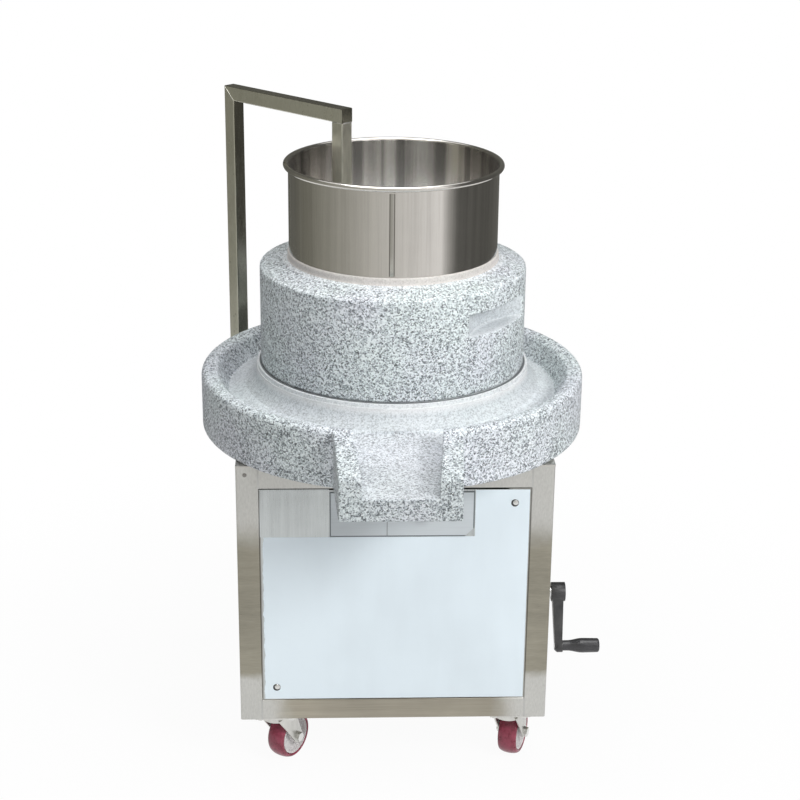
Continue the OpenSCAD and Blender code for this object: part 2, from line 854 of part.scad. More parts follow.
// Vertical geared motor: finned motor below, gearbox above, bored for its shaft
module gear_motor() {
    r = motor_d / 2;
    gear_top = belt_mid - pulley_h / 2 - 2;
    gear_h = 82;
    color("#4f5a63")
    translate([0, motor_y, 0]) difference() {
        union() {
            translate([-r + 6, -r + 6, floor_z]) cube([2 * r - 12, 2 * r - 12, 8]);
            translate([0, 0, floor_z]) cylinder(r = r - 8, h = gear_top - floor_z);
            for (z = [floor_z + 22 : 10 : gear_top - gear_h - 12]) {
                translate([0, 0, z]) cylinder(r = r, h = 4);
            }
            translate([0, 0, gear_top - gear_h]) cylinder(r = r, h = gear_h - 14);
        }
        translate([0, 0, gear_top - 33]) cylinder(r = motor_shaft_r + RUN, h = 40);
    }
}

// Lift

// Screw jack on the bottom plate: pedestal, bore for the screw and a side bore for the crank shaft
module jack_housing() {
    color("#5b6166")
    difference() {
        union() {
            box([-jack_w / 2 - 14, -jack_w / 2, floor_z], [jack_w / 2 + 14, jack_w / 2, floor_z + 10]);
            translate([0, 0, floor_z]) linear_extrude(jack_top - floor_z) polygon(rounded(jack_w, 10));
            translate([0, 0, crank_z]) rotate([0, 90, 0]) cylinder(r = crank_shaft_r + 12, h = jack_w / 2 + 16);
        }
        translate([0, 0, floor_z + 6]) cylinder(r = jack_r + RUN, h = jack_top);
        translate([jack_r + 14, 0, crank_z]) rotate([0, 90, 0]) cylinder(r = crank_shaft_r + RUN, h = jack_w);
    }
}

module jack_screw() {
    color("#8f9296")
    union() {
        translate([0, 0, floor_z + 8]) cylinder(r = jack_r, h = thrust_z - floor_z - 8);
        translate([0, 0, thrust_z - jack_head_h]) cylinder(r = spindle_r + 13, h = jack_head_h);
    }
}

module thrust_bearing() {
    color("#c4c6c8")
    translate([0, 0, thrust_z]) ring(spindle_r + 11, spindle_r - 5, thrust_h);
}

module crank_shaft() {
    x0 = jack_r + 15;
    color("#a5a8ab")
    translate([x0, 0, crank_z]) rotate([0, 90, 0]) cylinder(r = crank_shaft_r, h = hub_x1 - x0);
}

// Flanged bush on the right side that carries the crank shaft
module crank_bush() {
    color("#3a3b3d")
    translate([side_x, 0, crank_z]) rotate([0, 90, 0]) difference() {
        union() {
            translate([0, 0, -panel_t - 8]) cylinder(r = boss_r, h = panel_t + 8 + EPS);
            cylinder(r = boss_r + 14, h = 5);
            cylinder(r = boss_r, h = boss_len);
        }
        translate([0, 0, -20]) cylinder(r = crank_shaft_r + RUN, h = boss_len + 40);
        for (a = [45 : 90 : 315]) {
            rotate([0, 0, a]) translate([boss_r + 8, 0, -1]) cylinder(r = 2.6, h = 8);
        }
    }
}

// Crank arm: round hub, an arm that narrows and thins downwards, and a chamfered boss that the grip turns on
module crank_arm() {
    end_r = 11;
    end_cut = 4;
    tip_z = crank_z - crank_radius;
    hub_r = hub_d / 2;
    root_w = hub_r - 3;
    end_w = end_r - 1.5;
    color("#1d1d1f")
    difference() {
        union() {
            translate([hub_x0, 0, crank_z]) rotate([0, 90, 0]) cylinder(r = hub_r, h = hub_len);
            translate([crank_arm_x0, 0, tip_z]) rotate([0, 90, 0]) rotate_extrude()
                polygon([[0, 0], [end_r - end_cut, 0], [end_r, end_cut], [end_r, crank_arm_t], [0, crank_arm_t]]);
            intersection() {
                translate([hub_x0, 0, 0]) rotate([90, 0, 90]) linear_extrude(hub_len)
                    polygon([[-root_w, crank_z], [-end_w, tip_z], [end_w, tip_z], [root_w, crank_z]]);
                rotate([90, 0, 0]) linear_extrude(hub_d, center = true)
                    polygon([[hub_x0 + 1.5, crank_z + 1], [crank_arm_x0 + 0.5, tip_z - 1], [hub_x1 - 1, tip_z - 1],
                             [hub_x1 - 3, crank_z + 1]]);
            }
        }
        translate([hub_x0 - 1, 0, crank_z]) rotate([0, 90, 0]) cylinder(r = crank_shaft_r, h = hub_len + 2);
        translate([crank_arm_x0 - 1, 0, tip_z]) rotate([0, 90, 0]) cylinder(r = grip_bolt_r, h = hub_len + 2);
    }
}

// Turned grip, slim at the arm, swelling to a full handle with a rounded end
module crank_grip() {
    neck_r = grip_d / 2 - 3.5;
    full_r = grip_d / 2;
    round_r = 3.5;
    swell = 6;
    color("#161617")
    translate([grip_x0, 0, crank_z - crank_radius]) rotate([0, 90, 0]) rotate_extrude()
        polygon(concat(
            [[grip_bolt_r + RUN, 0], [neck_r, 0]],
            [for (i = [0 : swell]) [neck_r + (full_r - neck_r) * (1 - cos(180 * i / swell)) / 2,
                                    grip_len * (0.12 + 0.42 * i / swell)]],
            arc(full_r - 0.5 - round_r, grip_len - round_r, round_r, 0, 90, 6),
            [[grip_bolt_r + 4, grip_len], [grip_bolt_r + 4, grip_len - 5], [grip_bolt_r + RUN, grip_len - 5]]
        ));
}

module grip_bolt() {
    head_h = 4;
    color("#b4b6b8")
    translate([crank_arm_x0, 0, crank_z - crank_radius]) rotate([0, 90, 0]) {
        cylinder(r = grip_bolt_r, h = grip_x0 - crank_arm_x0 + grip_len - 5 + CLEAR + EPS);
        translate([0, 0, grip_x0 - crank_arm_x0 + grip_len - 5 + CLEAR]) cylinder(r = grip_bolt_r + 3, h = head_h);
    }
}

// Stirrer arm

// Half space on one side of a mitre through the arm's corner at radius r
module mitre(r, lean) {
    translate([r, 0, arm_top - arm_w / 2]) rotate([0, lean, 0]) translate([-500, -500, 0]) cube(1000);
}

module arm_post() {
    color("#8b8a74")
    difference() {
        on_diagonal() translate([post_r, 0, socket_z0 + socket_wall]) square_tube(arm_w, arm_wall, arm_r, arm_top - socket_z0 - socket_wall);
        on_diagonal() mitre(post_r, -45);
    }
}

module arm_beam() {
    color("#8b8a74")
    difference() {
        on_diagonal() translate([drop_r - arm_w / 2, 0, arm_top - arm_w / 2]) rotate([0, 90, 0]) union() {
            square_tube(arm_w, arm_wall, arm_r, post_r - drop_r + arm_w);
            linear_extrude(arm_cap) polygon(rounded(arm_w, arm_r));
        }
        on_diagonal() mitre(post_r, 135);
    }
}

module arm_drop() {
    color("#8b8a74")
    on_diagonal() translate([drop_r, 0, arm_top - drop_len]) union() {
        square_tube(arm_w, arm_wall, arm_r, drop_len - arm_w);
        linear_extrude(arm_cap) polygon(rounded(arm_w, arm_r));
    }
}

// Square socket with two wings that lie on the cabinet's left side and rear
module arm_socket() {
    color("#8f8d80")
    union() {
        on_diagonal() translate([post_r, 0, socket_z0]) {
            square_tube(socket_w, socket_wall, arm_r + 1, socket_h);
            linear_extrude(socket_wall) polygon(rounded(socket_w, arm_r + 1));
        }
        difference() {
            union() {
                box([-side_x - wing_t, cab_back - wing_w, socket_z0], [-side_x, cab_back + wing_t, socket_z0 + socket_h]);
                box([-side_x - wing_t, cab_back, socket_z0], [-side_x + wing_w, cab_back + wing_t, socket_z0 + socket_h]);
            }
            on_diagonal() translate([post_r, 0, socket_z0 - 1]) linear_extrude(socket_h + 2) square(socket_w - 1, center = true);
            for (z = [socket_z0 + 22, socket_z0 + socket_h - 22]) {
                translate([-side_x + wing_w * 0.62, cab_back - 1, z]) rotate([-90, 0, 0]) cylinder(r = 3.2, h = wing_t + 2);
                translate([-side_x - wing_t - 1, cab_back - wing_w * 0.62, z]) rotate([0, 90, 0]) cylinder(r = 3.2, h = wing_t + 2);
            }
        }
    }
}

// Castors

// Top plates with their upper races and king pins, all four
module castor_plates() {
    plate_half = 31;
    color("#c7c6c0")
    for (spot = castor_spots) {
        translate([spot[0], spot[1], 0]) {
            box([-plate_half, -plate_half, castor_h - plate_t], [plate_half, plate_half, castor_h]);
            translate([0, 0, castor_h - plate_t - race_h]) cylinder(r = race_r, h = race_h + EPS);
            translate([0, 0, fork_top - fork_head_h - 3]) cylinder(r = kingpin_r, h = castor_h - fork_top + fork_head_h);
        }
    }
}

// Puts children at a castor with +X along its trail, turned about its swivel
module at_castor(i) {
    translate([castor_spots[i][0], castor_spots[i][1], 0]) rotate([0, 0, castor_spots[i][2]]) children();
}

// Side of the fork: a raked plate from the head down to the axle eye
module fork_side() {
    eye = 10;
    difference() {
        union() {
            polygon([[-race_r + 2, fork_top - 3], [race_r + 2, fork_top - 3], [trail + eye, wheel_r + 3],
                     [trail - eye + 1, wheel_r - 4]]);
            translate([trail, wheel_r]) circle(r = eye);
        }
        translate([trail, wheel_r]) circle(r = axle_r + 0.1);
    }
}

module castor_fork(i) {
    color("#cfcdc4")
    at_castor(i) difference() {
        union() {
            translate([0, 0, fork_top - fork_head_h]) cylinder(r = race_r + 1, h = fork_head_h);
            for (y = [-leg_out, leg_in]) {
                translate([0, y + leg_t, 0]) rotate([90, 0, 0]) linear_extrude(leg_t) fork_side();
            }
        }
        translate([0, 0, fork_top - fork_head_h - 1]) cylinder(r = kingpin_r + RUN, h = fork_head_h + 2);
    }
}

module wheel_axle(i) {
    nut = 5;
    color("#d7d6d0")
    at_castor(i) translate([trail, 0, wheel_r]) rotate([90, 0, 0]) {
        translate([0, 0, -leg_out]) cylinder(r = axle_r, h = 2 * leg_out);
        translate([0, 0, -leg_out - nut]) cylinder(r = axle_r + 3.5, h = nut, $fn = 6);
        translate([0, 0, leg_out]) cylinder(r = axle_r + 3.5, h = nut, $fn = 6);
    }
}

module wheel_hub(i) {
    rim = wheel_r - tyre_t;
    color("#e9e4e4")
    at_castor(i) translate([trail, 0, wheel_r]) rotate([90, 0, 0]) rotate_extrude()
        polygon([[axle_r + RUN, -hub_half], [axle_r + 5, -hub_half], [axle_r + 6, -tyre_w / 2 + 6],
                 [rim - 4, -tyre_w / 2 + 6], [rim - 3, -tyre_w / 2 + 1], [rim, -tyre_w / 2 + 1],
                 [rim, tyre_w / 2 - 1], [rim - 3, tyre_w / 2 - 1], [rim - 4, tyre_w / 2 - 6],
                 [axle_r + 6, tyre_w / 2 - 6], [axle_r + 5, hub_half], [axle_r + RUN, hub_half]]);
}

module tyre(i) {
    edge = 4;
    color("#a8203f")
    at_castor(i) translate([trail, 0, wheel_r]) rotate([90, 0, 0]) rotate_extrude()
        polygon(concat(
            [[wheel_r - tyre_t, -tyre_w / 2]],
            arc(wheel_r - edge, -tyre_w / 2 + edge, edge, -90, 0, 5),
            arc(wheel_r - edge, tyre_w / 2 - edge, edge, 0, 90, 5),
            [[wheel_r - tyre_t, tyre_w / 2]]
        ));
}

frame_posts();
frame_rails();
top_plate();
bottom_plate();
front_panel();
left_panel();
right_panel();
rear_panel();
panel_ledges();
panel_screws();
control_plate();
start_button();
stop_button();
speed_knob();
control_sockets();
control_box();
cable_gland();
trough_stone();
bed_stone();
bed_bush();
runner_stone();
hopper();
rynd();
spindle();
bearing_housing();
pulley_bearings();
driven_pulley();
drive_belt();
motor_pulley();
motor_shaft();
gear_motor();
jack_housing();
jack_screw();
thrust_bearing();
crank_shaft();
crank_bush();
crank_arm();
crank_grip();
grip_bolt();
arm_post();
arm_beam();
arm_drop();
arm_socket();
castor_plates();
castor_fork(0);  // castor_fork_fl
castor_fork(1);  // castor_fork_fr
castor_fork(2);  // castor_fork_rl
castor_fork(3);  // castor_fork_rr
wheel_axle(0);  // wheel_axle_fl
wheel_axle(1);  // wheel_axle_fr
wheel_axle(2);  // wheel_axle_rl
wheel_axle(3);  // wheel_axle_rr
wheel_hub(0);  // wheel_hub_fl
wheel_hub(1);  // wheel_hub_fr
wheel_hub(2);  // wheel_hub_rl
wheel_hub(3);  // wheel_hub_rr
tyre(0);  // tyre_fl
tyre(1);  // tyre_fr
tyre(2);  // tyre_rl
tyre(3);  // tyre_rr
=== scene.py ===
"""Looks of the stone grain mill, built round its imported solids.

Everything is in metres in the solids' own frame: the origin is on the mill's axis at floor level, +Z is up
and the spout points along -Y.
"""

from __future__ import annotations

import logging
import math
from dataclasses import dataclass
from enum import Enum
from functools import reduce
from itertools import product
from typing import Any, Callable, Sequence

import bpy
from mathutils import Matrix, Vector

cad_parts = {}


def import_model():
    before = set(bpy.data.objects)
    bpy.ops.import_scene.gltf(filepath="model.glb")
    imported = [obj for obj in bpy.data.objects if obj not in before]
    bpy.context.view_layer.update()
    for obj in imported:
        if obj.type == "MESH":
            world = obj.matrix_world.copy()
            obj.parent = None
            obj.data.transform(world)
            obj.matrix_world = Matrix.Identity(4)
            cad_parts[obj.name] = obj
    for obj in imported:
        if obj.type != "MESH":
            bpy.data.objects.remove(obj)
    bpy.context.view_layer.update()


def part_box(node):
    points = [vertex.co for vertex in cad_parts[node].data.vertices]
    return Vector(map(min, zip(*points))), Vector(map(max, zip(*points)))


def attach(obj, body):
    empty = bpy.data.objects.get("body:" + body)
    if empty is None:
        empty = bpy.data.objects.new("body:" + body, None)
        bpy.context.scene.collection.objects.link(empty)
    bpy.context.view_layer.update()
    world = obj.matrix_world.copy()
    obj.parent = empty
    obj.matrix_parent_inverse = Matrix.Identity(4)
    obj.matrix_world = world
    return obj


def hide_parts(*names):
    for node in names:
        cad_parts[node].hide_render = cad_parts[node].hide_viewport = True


LOG = logging.getLogger("mill")
MM = 0.001
CORNERS = ("fl", "fr", "rl", "rr")
QUARTER = math.pi / 2
Colour = tuple[float, float, float]
Point = tuple[float, float, float]
Span = tuple[float, float]
Piece = bpy.types.Object
Material = bpy.types.Material


class Body(Enum):
    """The bodies that new pieces ride on, apart from the castors and their wheels."""

    CABINET = "cabinet"
    RUNNER = "runner"
    CRANK = "crank"


class Grain(Enum):
    """The way a brushed finish runs, as the stretch of its noise along X, Y and Z."""

    UPRIGHT = (1.0, 1.0, 0.02)
    ACROSS = (0.02, 0.02, 1.0)
    GROUND = (0.07, 0.07, 0.55)
    SLANTED = (0.25, 0.25, 0.06)


def math_method(operation: str, flipped: bool = False) -> Callable[..., Value]:
    """A method of Value that adds one Math node.

    Args:
        operation: the node's operation.
        flipped: whether the other value goes in first.

    Returns:
        The method, which gives back the node's result.
    """
    def method(self: Value, *others: Any) -> Value:
        """Puts the value and the other one through the node."""
        values = (*others, self) if flipped else (self, *others)
        return self.graph.node("ShaderNodeMath", {"operation": operation}, dict(enumerate(values)))

    return method


class Value:
    """A number, vector or colour on its way through a material's nodes, open to plain arithmetic."""

    __add__ = __radd__ = math_method("ADD")
    __sub__ = math_method("SUBTRACT")
    __rsub__ = math_method("SUBTRACT", flipped=True)
    __mul__ = __rmul__ = math_method("MULTIPLY")
    __truediv__ = math_method("DIVIDE")
    __pow__ = math_method("POWER")
    __abs__ = math_method("ABSOLUTE")
    least = math_method("MINIMUM")
    most = math_method("MAXIMUM")
    angle = math_method("ARCTAN2")

    def __init__(self, graph: Graph, socket: bpy.types.NodeSocket) -> None:
        """Wraps one output socket of the graph."""
        self.graph = graph
        self.socket = socket

    def rise(self, low: float, high: float) -> Value:
        """A soft step.

        Args:
            low: where the step is still 0.
            high: where it has reached 1; a smaller number than low makes it fall.

        Returns:
            The step, from 0 to 1.
        """
        ends = {0: self, 1: min(low, high), 2: max(low, high)}
        step = self.graph.node("ShaderNodeMapRange", {"interpolation_type": "SMOOTHSTEP"}, ends)
        return 1 - step if low > high else step


class Graph:
    """The nodes of one material, or of the world."""

    rays = ("Camera", "Glossy", "Transmission")

    def __init__(self, name: str, world: bool = False) -> None:
        """Starts an empty material, or the world, of that name."""
        self.kind = "World" if world else "Material"
        self.owner = (bpy.data.worlds if world else bpy.data.materials).new(name)
        self.owner.use_nodes = True
        self.tree = self.owner.node_tree
        self.tree.nodes.clear()

    def node(self, kind: str, settings: dict[str, Any] | None = None, sockets: dict[Any, Any] | None = None,
             output: int | str = 0) -> Value:
        """Adds any node.

        Args:
            kind: the node's type.
            settings: its properties, set first.
            sockets: numbers, colours or Values for its inputs, by name or place.
            output: which output to give back.

        Returns:
            That output.
        """
        made = self.tree.nodes.new(kind)
        for key, value in (settings or {}).items():
            setattr(made, key, value)
        for key, value in (sockets or {}).items():
            if isinstance(value, Value):
                self.tree.links.new(value.socket, made.inputs[key])
            elif isinstance(value, tuple) and made.inputs[key].type == "RGBA":
                made.inputs[key].default_value = (*value[:3], 1.0)
            else:
                made.inputs[key].default_value = value
        return Value(self, made.outputs[output])

    def coords(self) -> Value:
        """The place on the object, in metres."""
        return self.node("ShaderNodeTexCoord", output="Object")

    def axis(self, name: str) -> Value:
        """The place along X, Y or Z, in metres."""
        return self.node("ShaderNodeSeparateXYZ", {}, {0: self.coords()}, output=name)

    def radius(self) -> Value:
        """The distance from the mill's axis, in metres."""
        return (self.axis("X") ** 2 + self.axis("Y") ** 2) ** 0.5

    def turn(self) -> Value:
        """The angle round the mill's axis, from 0 at the front, in radians."""
        return self.axis("X").angle(0 - self.axis("Y"))

    def noise(self, scale: float, detail: float = 2.0, rough: float = 0.5,
              stretch: Point = (1.0, 1.0, 1.0)) -> Value:
        """Cloudy noise from 0 to 1, of that scale per metre, with each axis scaled by its stretch."""
        place = self.node("ShaderNodeVectorMath", {"operation": "MULTIPLY"}, {0: self.coords(), 1: stretch})
        return self.node("ShaderNodeTexNoise", {}, {
            "Vector": place, "Scale": scale, "Detail": detail, "Roughness": rough})

    def bands(self, scale: float, detail: float) -> Value:
        """Noise that changes only with the turn, which makes upright bands."""
        return self.node("ShaderNodeTexNoise", {"noise_dimensions": "1D"}, {
            "W": self.turn(), "Scale": scale, "Detail": detail})

    def crystals(self, scale: float, ragged: float) -> Value:
        """A random number for each crystal of a stone.

        Args:
            scale: crystals per metre.
            ragged: how far their borders wander, in metres.

        Returns:
            A number from 0 to 1, the same over one crystal.
        """
        wander = self.node("ShaderNodeTexNoise", {}, {
            "Vector": self.coords(), "Scale": scale * 1.7, "Detail": 1.0}, output="Color")
        shift = self.node("ShaderNodeVectorMath", {"operation": "MULTIPLY_ADD"}, {
            0: wander, 1: (ragged * 2,) * 3, 2: self.coords()})
        cells = self.node("ShaderNodeTexVoronoi", {}, {"Vector": shift, "Scale": scale}, output="Color")
        return self.node("ShaderNodeSeparateColor", {}, {0: cells})

    def ramp(self, value: Value, stops: Sequence[tuple[float, Colour]]) -> Value:
        """A colour for each value.

        Args:
            value: a number from 0 to 1.
            stops: the places and colours that the ramp goes through.

        Returns:
            The colour.
        """
        colour = self.node("ShaderNodeValToRGB", {}, {0: value})
        elements = colour.socket.node.color_ramp.elements
        while len(elements) < len(stops):
            elements.new(0.5)
        for element, (place, tint) in zip(elements, stops):
            element.position = place
            element.color = (*tint, 1.0)
        return colour

    def shades(self, value: Value, tint: Colour, share: float, low: float = 0.3, high: float = 0.7) -> Value:
        """A ramp that goes from a darker share of a tint at the low value to the tint at the high one."""
        return self.ramp(value, [(low, tuple(c * share for c in tint)), (high, tint)])

    def mix(self, share: Value | float, first: Value | Colour, second: Value | Colour,
            way: str = "MIX") -> Value:
        """Mixes two colours, with that share of the second one, in one of the blend types."""
        return self.node("ShaderNodeMix", {"data_type": "RGBA", "blend_type": way},
                         {0: share, 6: first, 7: second}, output=2)

    def times(self, first: Value | Colour, second: Value | Colour) -> Value:
        """One colour multiplied by another."""
        return self.mix(1.0, first, second, "MULTIPLY")

    def toned(self, tint: Value | Colour, factor: Value) -> Value:
        """A colour made darker or brighter by a plain factor."""
        return self.times(tint, self.node("ShaderNodeCombineColor", {}, dict.fromkeys(range(3), factor)))

    def bump(self, height: Value, depth: float, strength: float) -> Value:
        """A normal from a height of 0 to 1 that stands for depth in metres."""
        return self.node("ShaderNodeBump", {}, {"Height": height, "Distance": depth, "Strength": strength})

    def seen(self) -> Value:
        """1 for rays from the camera, straight, mirrored or passed through, and 0 for scattered ones."""
        path = [self.node("ShaderNodeLightPath", output=f"Is {ray} Ray") for ray in self.rays]
        return path[0].most(path[1]).most(path[2])

    def surface(self, base: Value | Colour, rough: Value | float, metal: float, normal: Value,
                **constants: float) -> Material:
        """Closes the material with its shader.

        Args:
            base: colour of the surface.
            rough: roughness of the surface.
            metal: 1 for bare metal.
            normal: a bumped normal.
            constants: other inputs of the shader, with spaces as underscores.

        Returns:
            The finished material.
        """
        others = {key.replace("_", " "): value for key, value in constants.items()}
        return self.close(self.node("ShaderNodeBsdfPrincipled", {}, {
            "Base Color": base, "Roughness": rough, "Metallic": metal, "Normal": normal, **others}))

    def close(self, shader: Value) -> Any:
        """Links a shader to the output and gives back the material or world."""
        made = self.tree.nodes.new("ShaderNodeOutput" + self.kind)
        self.tree.links.new(shader.socket, made.inputs["Surface"])
        return self.owner


@dataclass(frozen=True)
class Granite:
    """Granite of pale, grey and dark crystals, smoother inside a radius, mortared or given a band of painted
    light above a height, and with painted light and shade where set.
    """

    name: str
    pale: Colour = (0.86, 0.90, 0.92)
    light: Colour = (0.60, 0.645, 0.675)
    grey: Colour = (0.38, 0.415, 0.44)
    dark: Colour = (0.085, 0.095, 0.102)
    lilac: Colour = (0.985, 0.972, 1.0)
    green: Colour = (0.972, 1.0, 0.982)
    worn_low: Colour = (0.51, 0.525, 0.555)
    worn_high: Colour = (0.62, 0.635, 0.66)
    hold_wall_shade: Colour = (0.66, 0.70, 0.72)
    hold_floor_light: Colour = (0.97, 0.98, 0.985)
    lit_top: Colour = (0.93, 0.95, 0.96)
    mortar_and_light: Colour = (0.74, 0.69, 0.645)
    crystal: float = 2.0 * MM
    smooth_radius: float = 0.0
    smooth_share: float = 0.62
    edge_shade: float = 0.88
    inner_light: float = 0.96
    wall_shade_radius: float = 0.0
    chute: Span = (0.0, 0.0)
    taper: float = 0.087
    lip: float = 0.3888
    hold: Span | None = None
    ledge: float = 0.0
    mortar_and_light_above: float = 0.0
    mortar_and_light_soft: float = 0.8 * MM
    gap_shade_radius: float = 0.0
    gap_shade_width: float = 2.6 * MM
    lit_top_above: float = 0.0
    spout: float = 0.0

    def make(self) -> Material:
        """Builds the stone's material."""
        g = Graph(self.name)
        coarse = g.crystals(1 / self.crystal, 0.5 * MM)
        fine = g.crystals(1.9 / self.crystal, 0.3 * MM)
        cloud = g.noise(22.0, 3.0, 0.6)
        draw = coarse * 0.7 + fine * 0.3 + (cloud - 0.5) * 0.16 + (g.noise(5.0) - 0.5) * 0.1
        speckle = g.ramp(draw, [(0.17, self.dark), (0.34, self.grey), (0.50, self.light), (0.73, self.pale)])
        speckle = g.times(speckle, g.ramp(g.noise(9.0, 1.0, 0.4), [(0.36, self.lilac), (0.64, self.green)]))
        height = draw.least(0.55) * 0.8 + g.noise(420.0, 3.0, 0.7) * 0.5
        if self.smooth_radius:
            speckle = self._dressed(g, speckle, cloud)
        # Darker towards the spout's front.
        if self.spout:
            ahead = (0 - g.axis("Y")).rise(self.spout, self.spout + 25 * MM)
            speckle = g.mix(ahead * 0.09, speckle, self.dark)
        # Painted light: the runner's top face is mixed towards a plain pale colour, as if lit from above.
        if self.lit_top_above:
            face = g.axis("Z").rise(self.lit_top_above - 0.6 * MM, self.lit_top_above + 0.6 * MM)
            speckle = g.mix(face * 0.3, speckle, self.lit_top)
        # Above this height: a mortared ring on the runner's seat, and on the cove a near-white band that is
        # painted light.
        if self.mortar_and_light_above:
            above = g.axis("Z").rise(self.mortar_and_light_above, self.mortar_and_light_above + self.mortar_and_light_soft)
            ring = g.shades(cloud * 0.6 + fine * 0.4, self.mortar_and_light, 0.8, 0.25, 0.75)
            speckle = g.mix(above * 0.8, speckle, ring)
        # Painted shade: a dark ring round the gap between the bed and the runner, standing for the shade
        # under the runner's edge.
        if self.gap_shade_radius:
            away = abs(g.radius() - (self.gap_shade_radius - self.gap_shade_width))
            speckle = g.mix(away.rise(self.gap_shade_width, self.gap_shade_width - 1 * MM) * 0.9, speckle, self.dark)
        return g.surface(speckle, 0.74 + (fine - 0.5) * 0.2, 0.0, g.bump(height, 0.35 * MM, 0.4), IOR=1.48)

    def _dressed(self, g: Graph, speckle: Value, cloud: Value) -> Value:
        """Smooths the stone inside its radius, up to the chute or in the hand-holds, and paints shade on the
        trough's inner wall and light and shade in the hand-holds and across the smoothed stone.

        Args:
            g: the material's nodes.
            speckle: colour of the rough stone.
            cloud: slow noise.

        Returns:
            The colour of the dressed stone.
        """
        radius, z = g.radius(), g.axis("Z")
        inside = radius.rise(self.smooth_radius + 1 * MM, self.smooth_radius - 1 * MM)
        outside = 1 - inside
        start, half = self.chute
        if half:
            ahead = 0 - g.axis("Y")
            within = (abs(g.axis("X")) + (ahead - start) * self.taper).rise(half + 1 * MM, half - 1 * MM)
            within = within * ahead.rise(start - 0.5 * MM, start + 0.5 * MM)
            inside, outside = inside * (1 - within), outside * (1 - within)
            front = ahead.rise(self.lip - 1.5 * MM, self.lip)
            speckle = g.mix(within * (1 - front) * 0.4, speckle, g.mix(cloud, self.worn_low, self.worn_high))
            # The spout's front face beyond the lip is made a little darker.
            speckle = g.mix(front * 0.1, speckle, self.dark)
        # Painted shade: the trough's inner wall, between the smoothed floor and the rim, is darkened as if
        # in shade.
        if self.wall_shade_radius:
            wall = outside * radius.rise(self.wall_shade_radius + 2 * MM, self.wall_shade_radius - 2 * MM)
            speckle = g.mix(wall * 0.12, speckle, self.dark)
        # Painted light and shade in the hand-hold: its floor below the ledge is near-white as if lit, its
        # back wall is grey and the corner between them has a dark line, as shade.
        if self.hold:
            low, high = self.hold
            inside = inside * z.rise(low - 3 * MM, low - 1 * MM) * z.rise(high + 1.5 * MM, high)
            corner = abs(z - self.ledge).rise(1.4 * MM, 0.6 * MM)
            hollow = g.mix(z.rise(self.ledge, self.ledge - 1 * MM), self.hold_wall_shade, self.hold_floor_light)
            speckle = g.mix(inside * 0.5, speckle, g.mix(corner * 0.7, hollow, self.grey))
        # Painted light and shade: the smoothed stone is darkest at its outer edge and brighter inwards, as
        # if shaded near the wall and lit near the middle.
        inward = radius.rise(self.smooth_radius - 3 * MM, self.smooth_radius - 27 * MM)
        tone = self.edge_shade + inward * (self.inner_light - self.edge_shade)
        return g.mix(inside * self.smooth_share, speckle, g.toned(g.mix(cloud, self.light, self.pale), tone))


@dataclass(frozen=True)
class BrushedSteel:
    """Brushed steel, ground paler at its foot, its top or towards the cabinet's corners, and with one face
    made paler as painted light.
    """

    name: str
    tint: Colour = (0.335, 0.315, 0.255)
    grain: Grain = Grain.UPRIGHT
    rough: float = 0.34
    metal: float = 0.92
    foot: float = 0.0
    top: float = 0.0
    corner: float = 0.0
    middle_y: float = 0.02
    face: float = 0.0
    paler: Colour = (0.64, 0.64, 0.615)

    def make(self) -> Material:
        """Builds the steel's material."""
        g = Graph(self.name)
        lines = g.noise(900.0, 2.0, 0.6, self.grain.value)
        strokes = g.noise(150.0, 2.0, 0.5, self.grain.value)
        broad = g.noise(9.0, 3.0, 0.55)
        tint = g.toned(self.tint, 0.86 + (lines - 0.5) * 0.3 + (strokes - 0.5) * 0.3 + (broad - 0.5) * 0.5)
        rough = self.rough + (lines - 0.5) * 0.22 + (broad - 0.5) * 0.12
        ground_and_lit_patch = self._ground_and_lit(g)
        if ground_and_lit_patch is not None:
            scratch = g.noise(1300.0, 2.0, 0.6, (0.35, 1.0, 0.12))
            tint = g.mix(ground_and_lit_patch * 0.9, tint, g.shades(scratch * 0.7 + broad * 0.3, self.paler, 0.8))
            rough = rough + ground_and_lit_patch * 0.12
        return g.surface(tint, rough, self.metal, g.bump(lines, 0.05 * MM, 0.35))

    def _ground_and_lit(self, g: Graph) -> Value | None:
        """Where the steel is ground, and where one face is made paler as painted light.

        Args:
            g: the material's nodes.

        Returns:
            A share from 0 to 1, or nothing for steel that isn't ground or painted anywhere.
        """
        ragged = (g.noise(45.0) - 0.5) * 0.02
        x, y, z = (g.axis(name) for name in "XYZ")
        shares = []
        if self.foot:
            shares.append((z + ragged).rise(self.foot + 12 * MM, self.foot - 4 * MM))
        if self.top:
            shares.append((z + ragged).rise(self.top - 30 * MM, self.top + 30 * MM))
        if self.corner:
            near = [(abs(away) + ragged).rise(self.corner - 20 * MM, self.corner + 30 * MM)
                    for away in (x, y - self.middle_y)]
            shares.append(near[0] * near[1])
        # Painted light: the tube faces on one side of a plane are made paler, as if lit.
        if self.face:
            shares.append((x + y).rise(self.face + 0.9 * MM, self.face + 0.2 * MM))
        return reduce(Value.most, shares) if shares else None


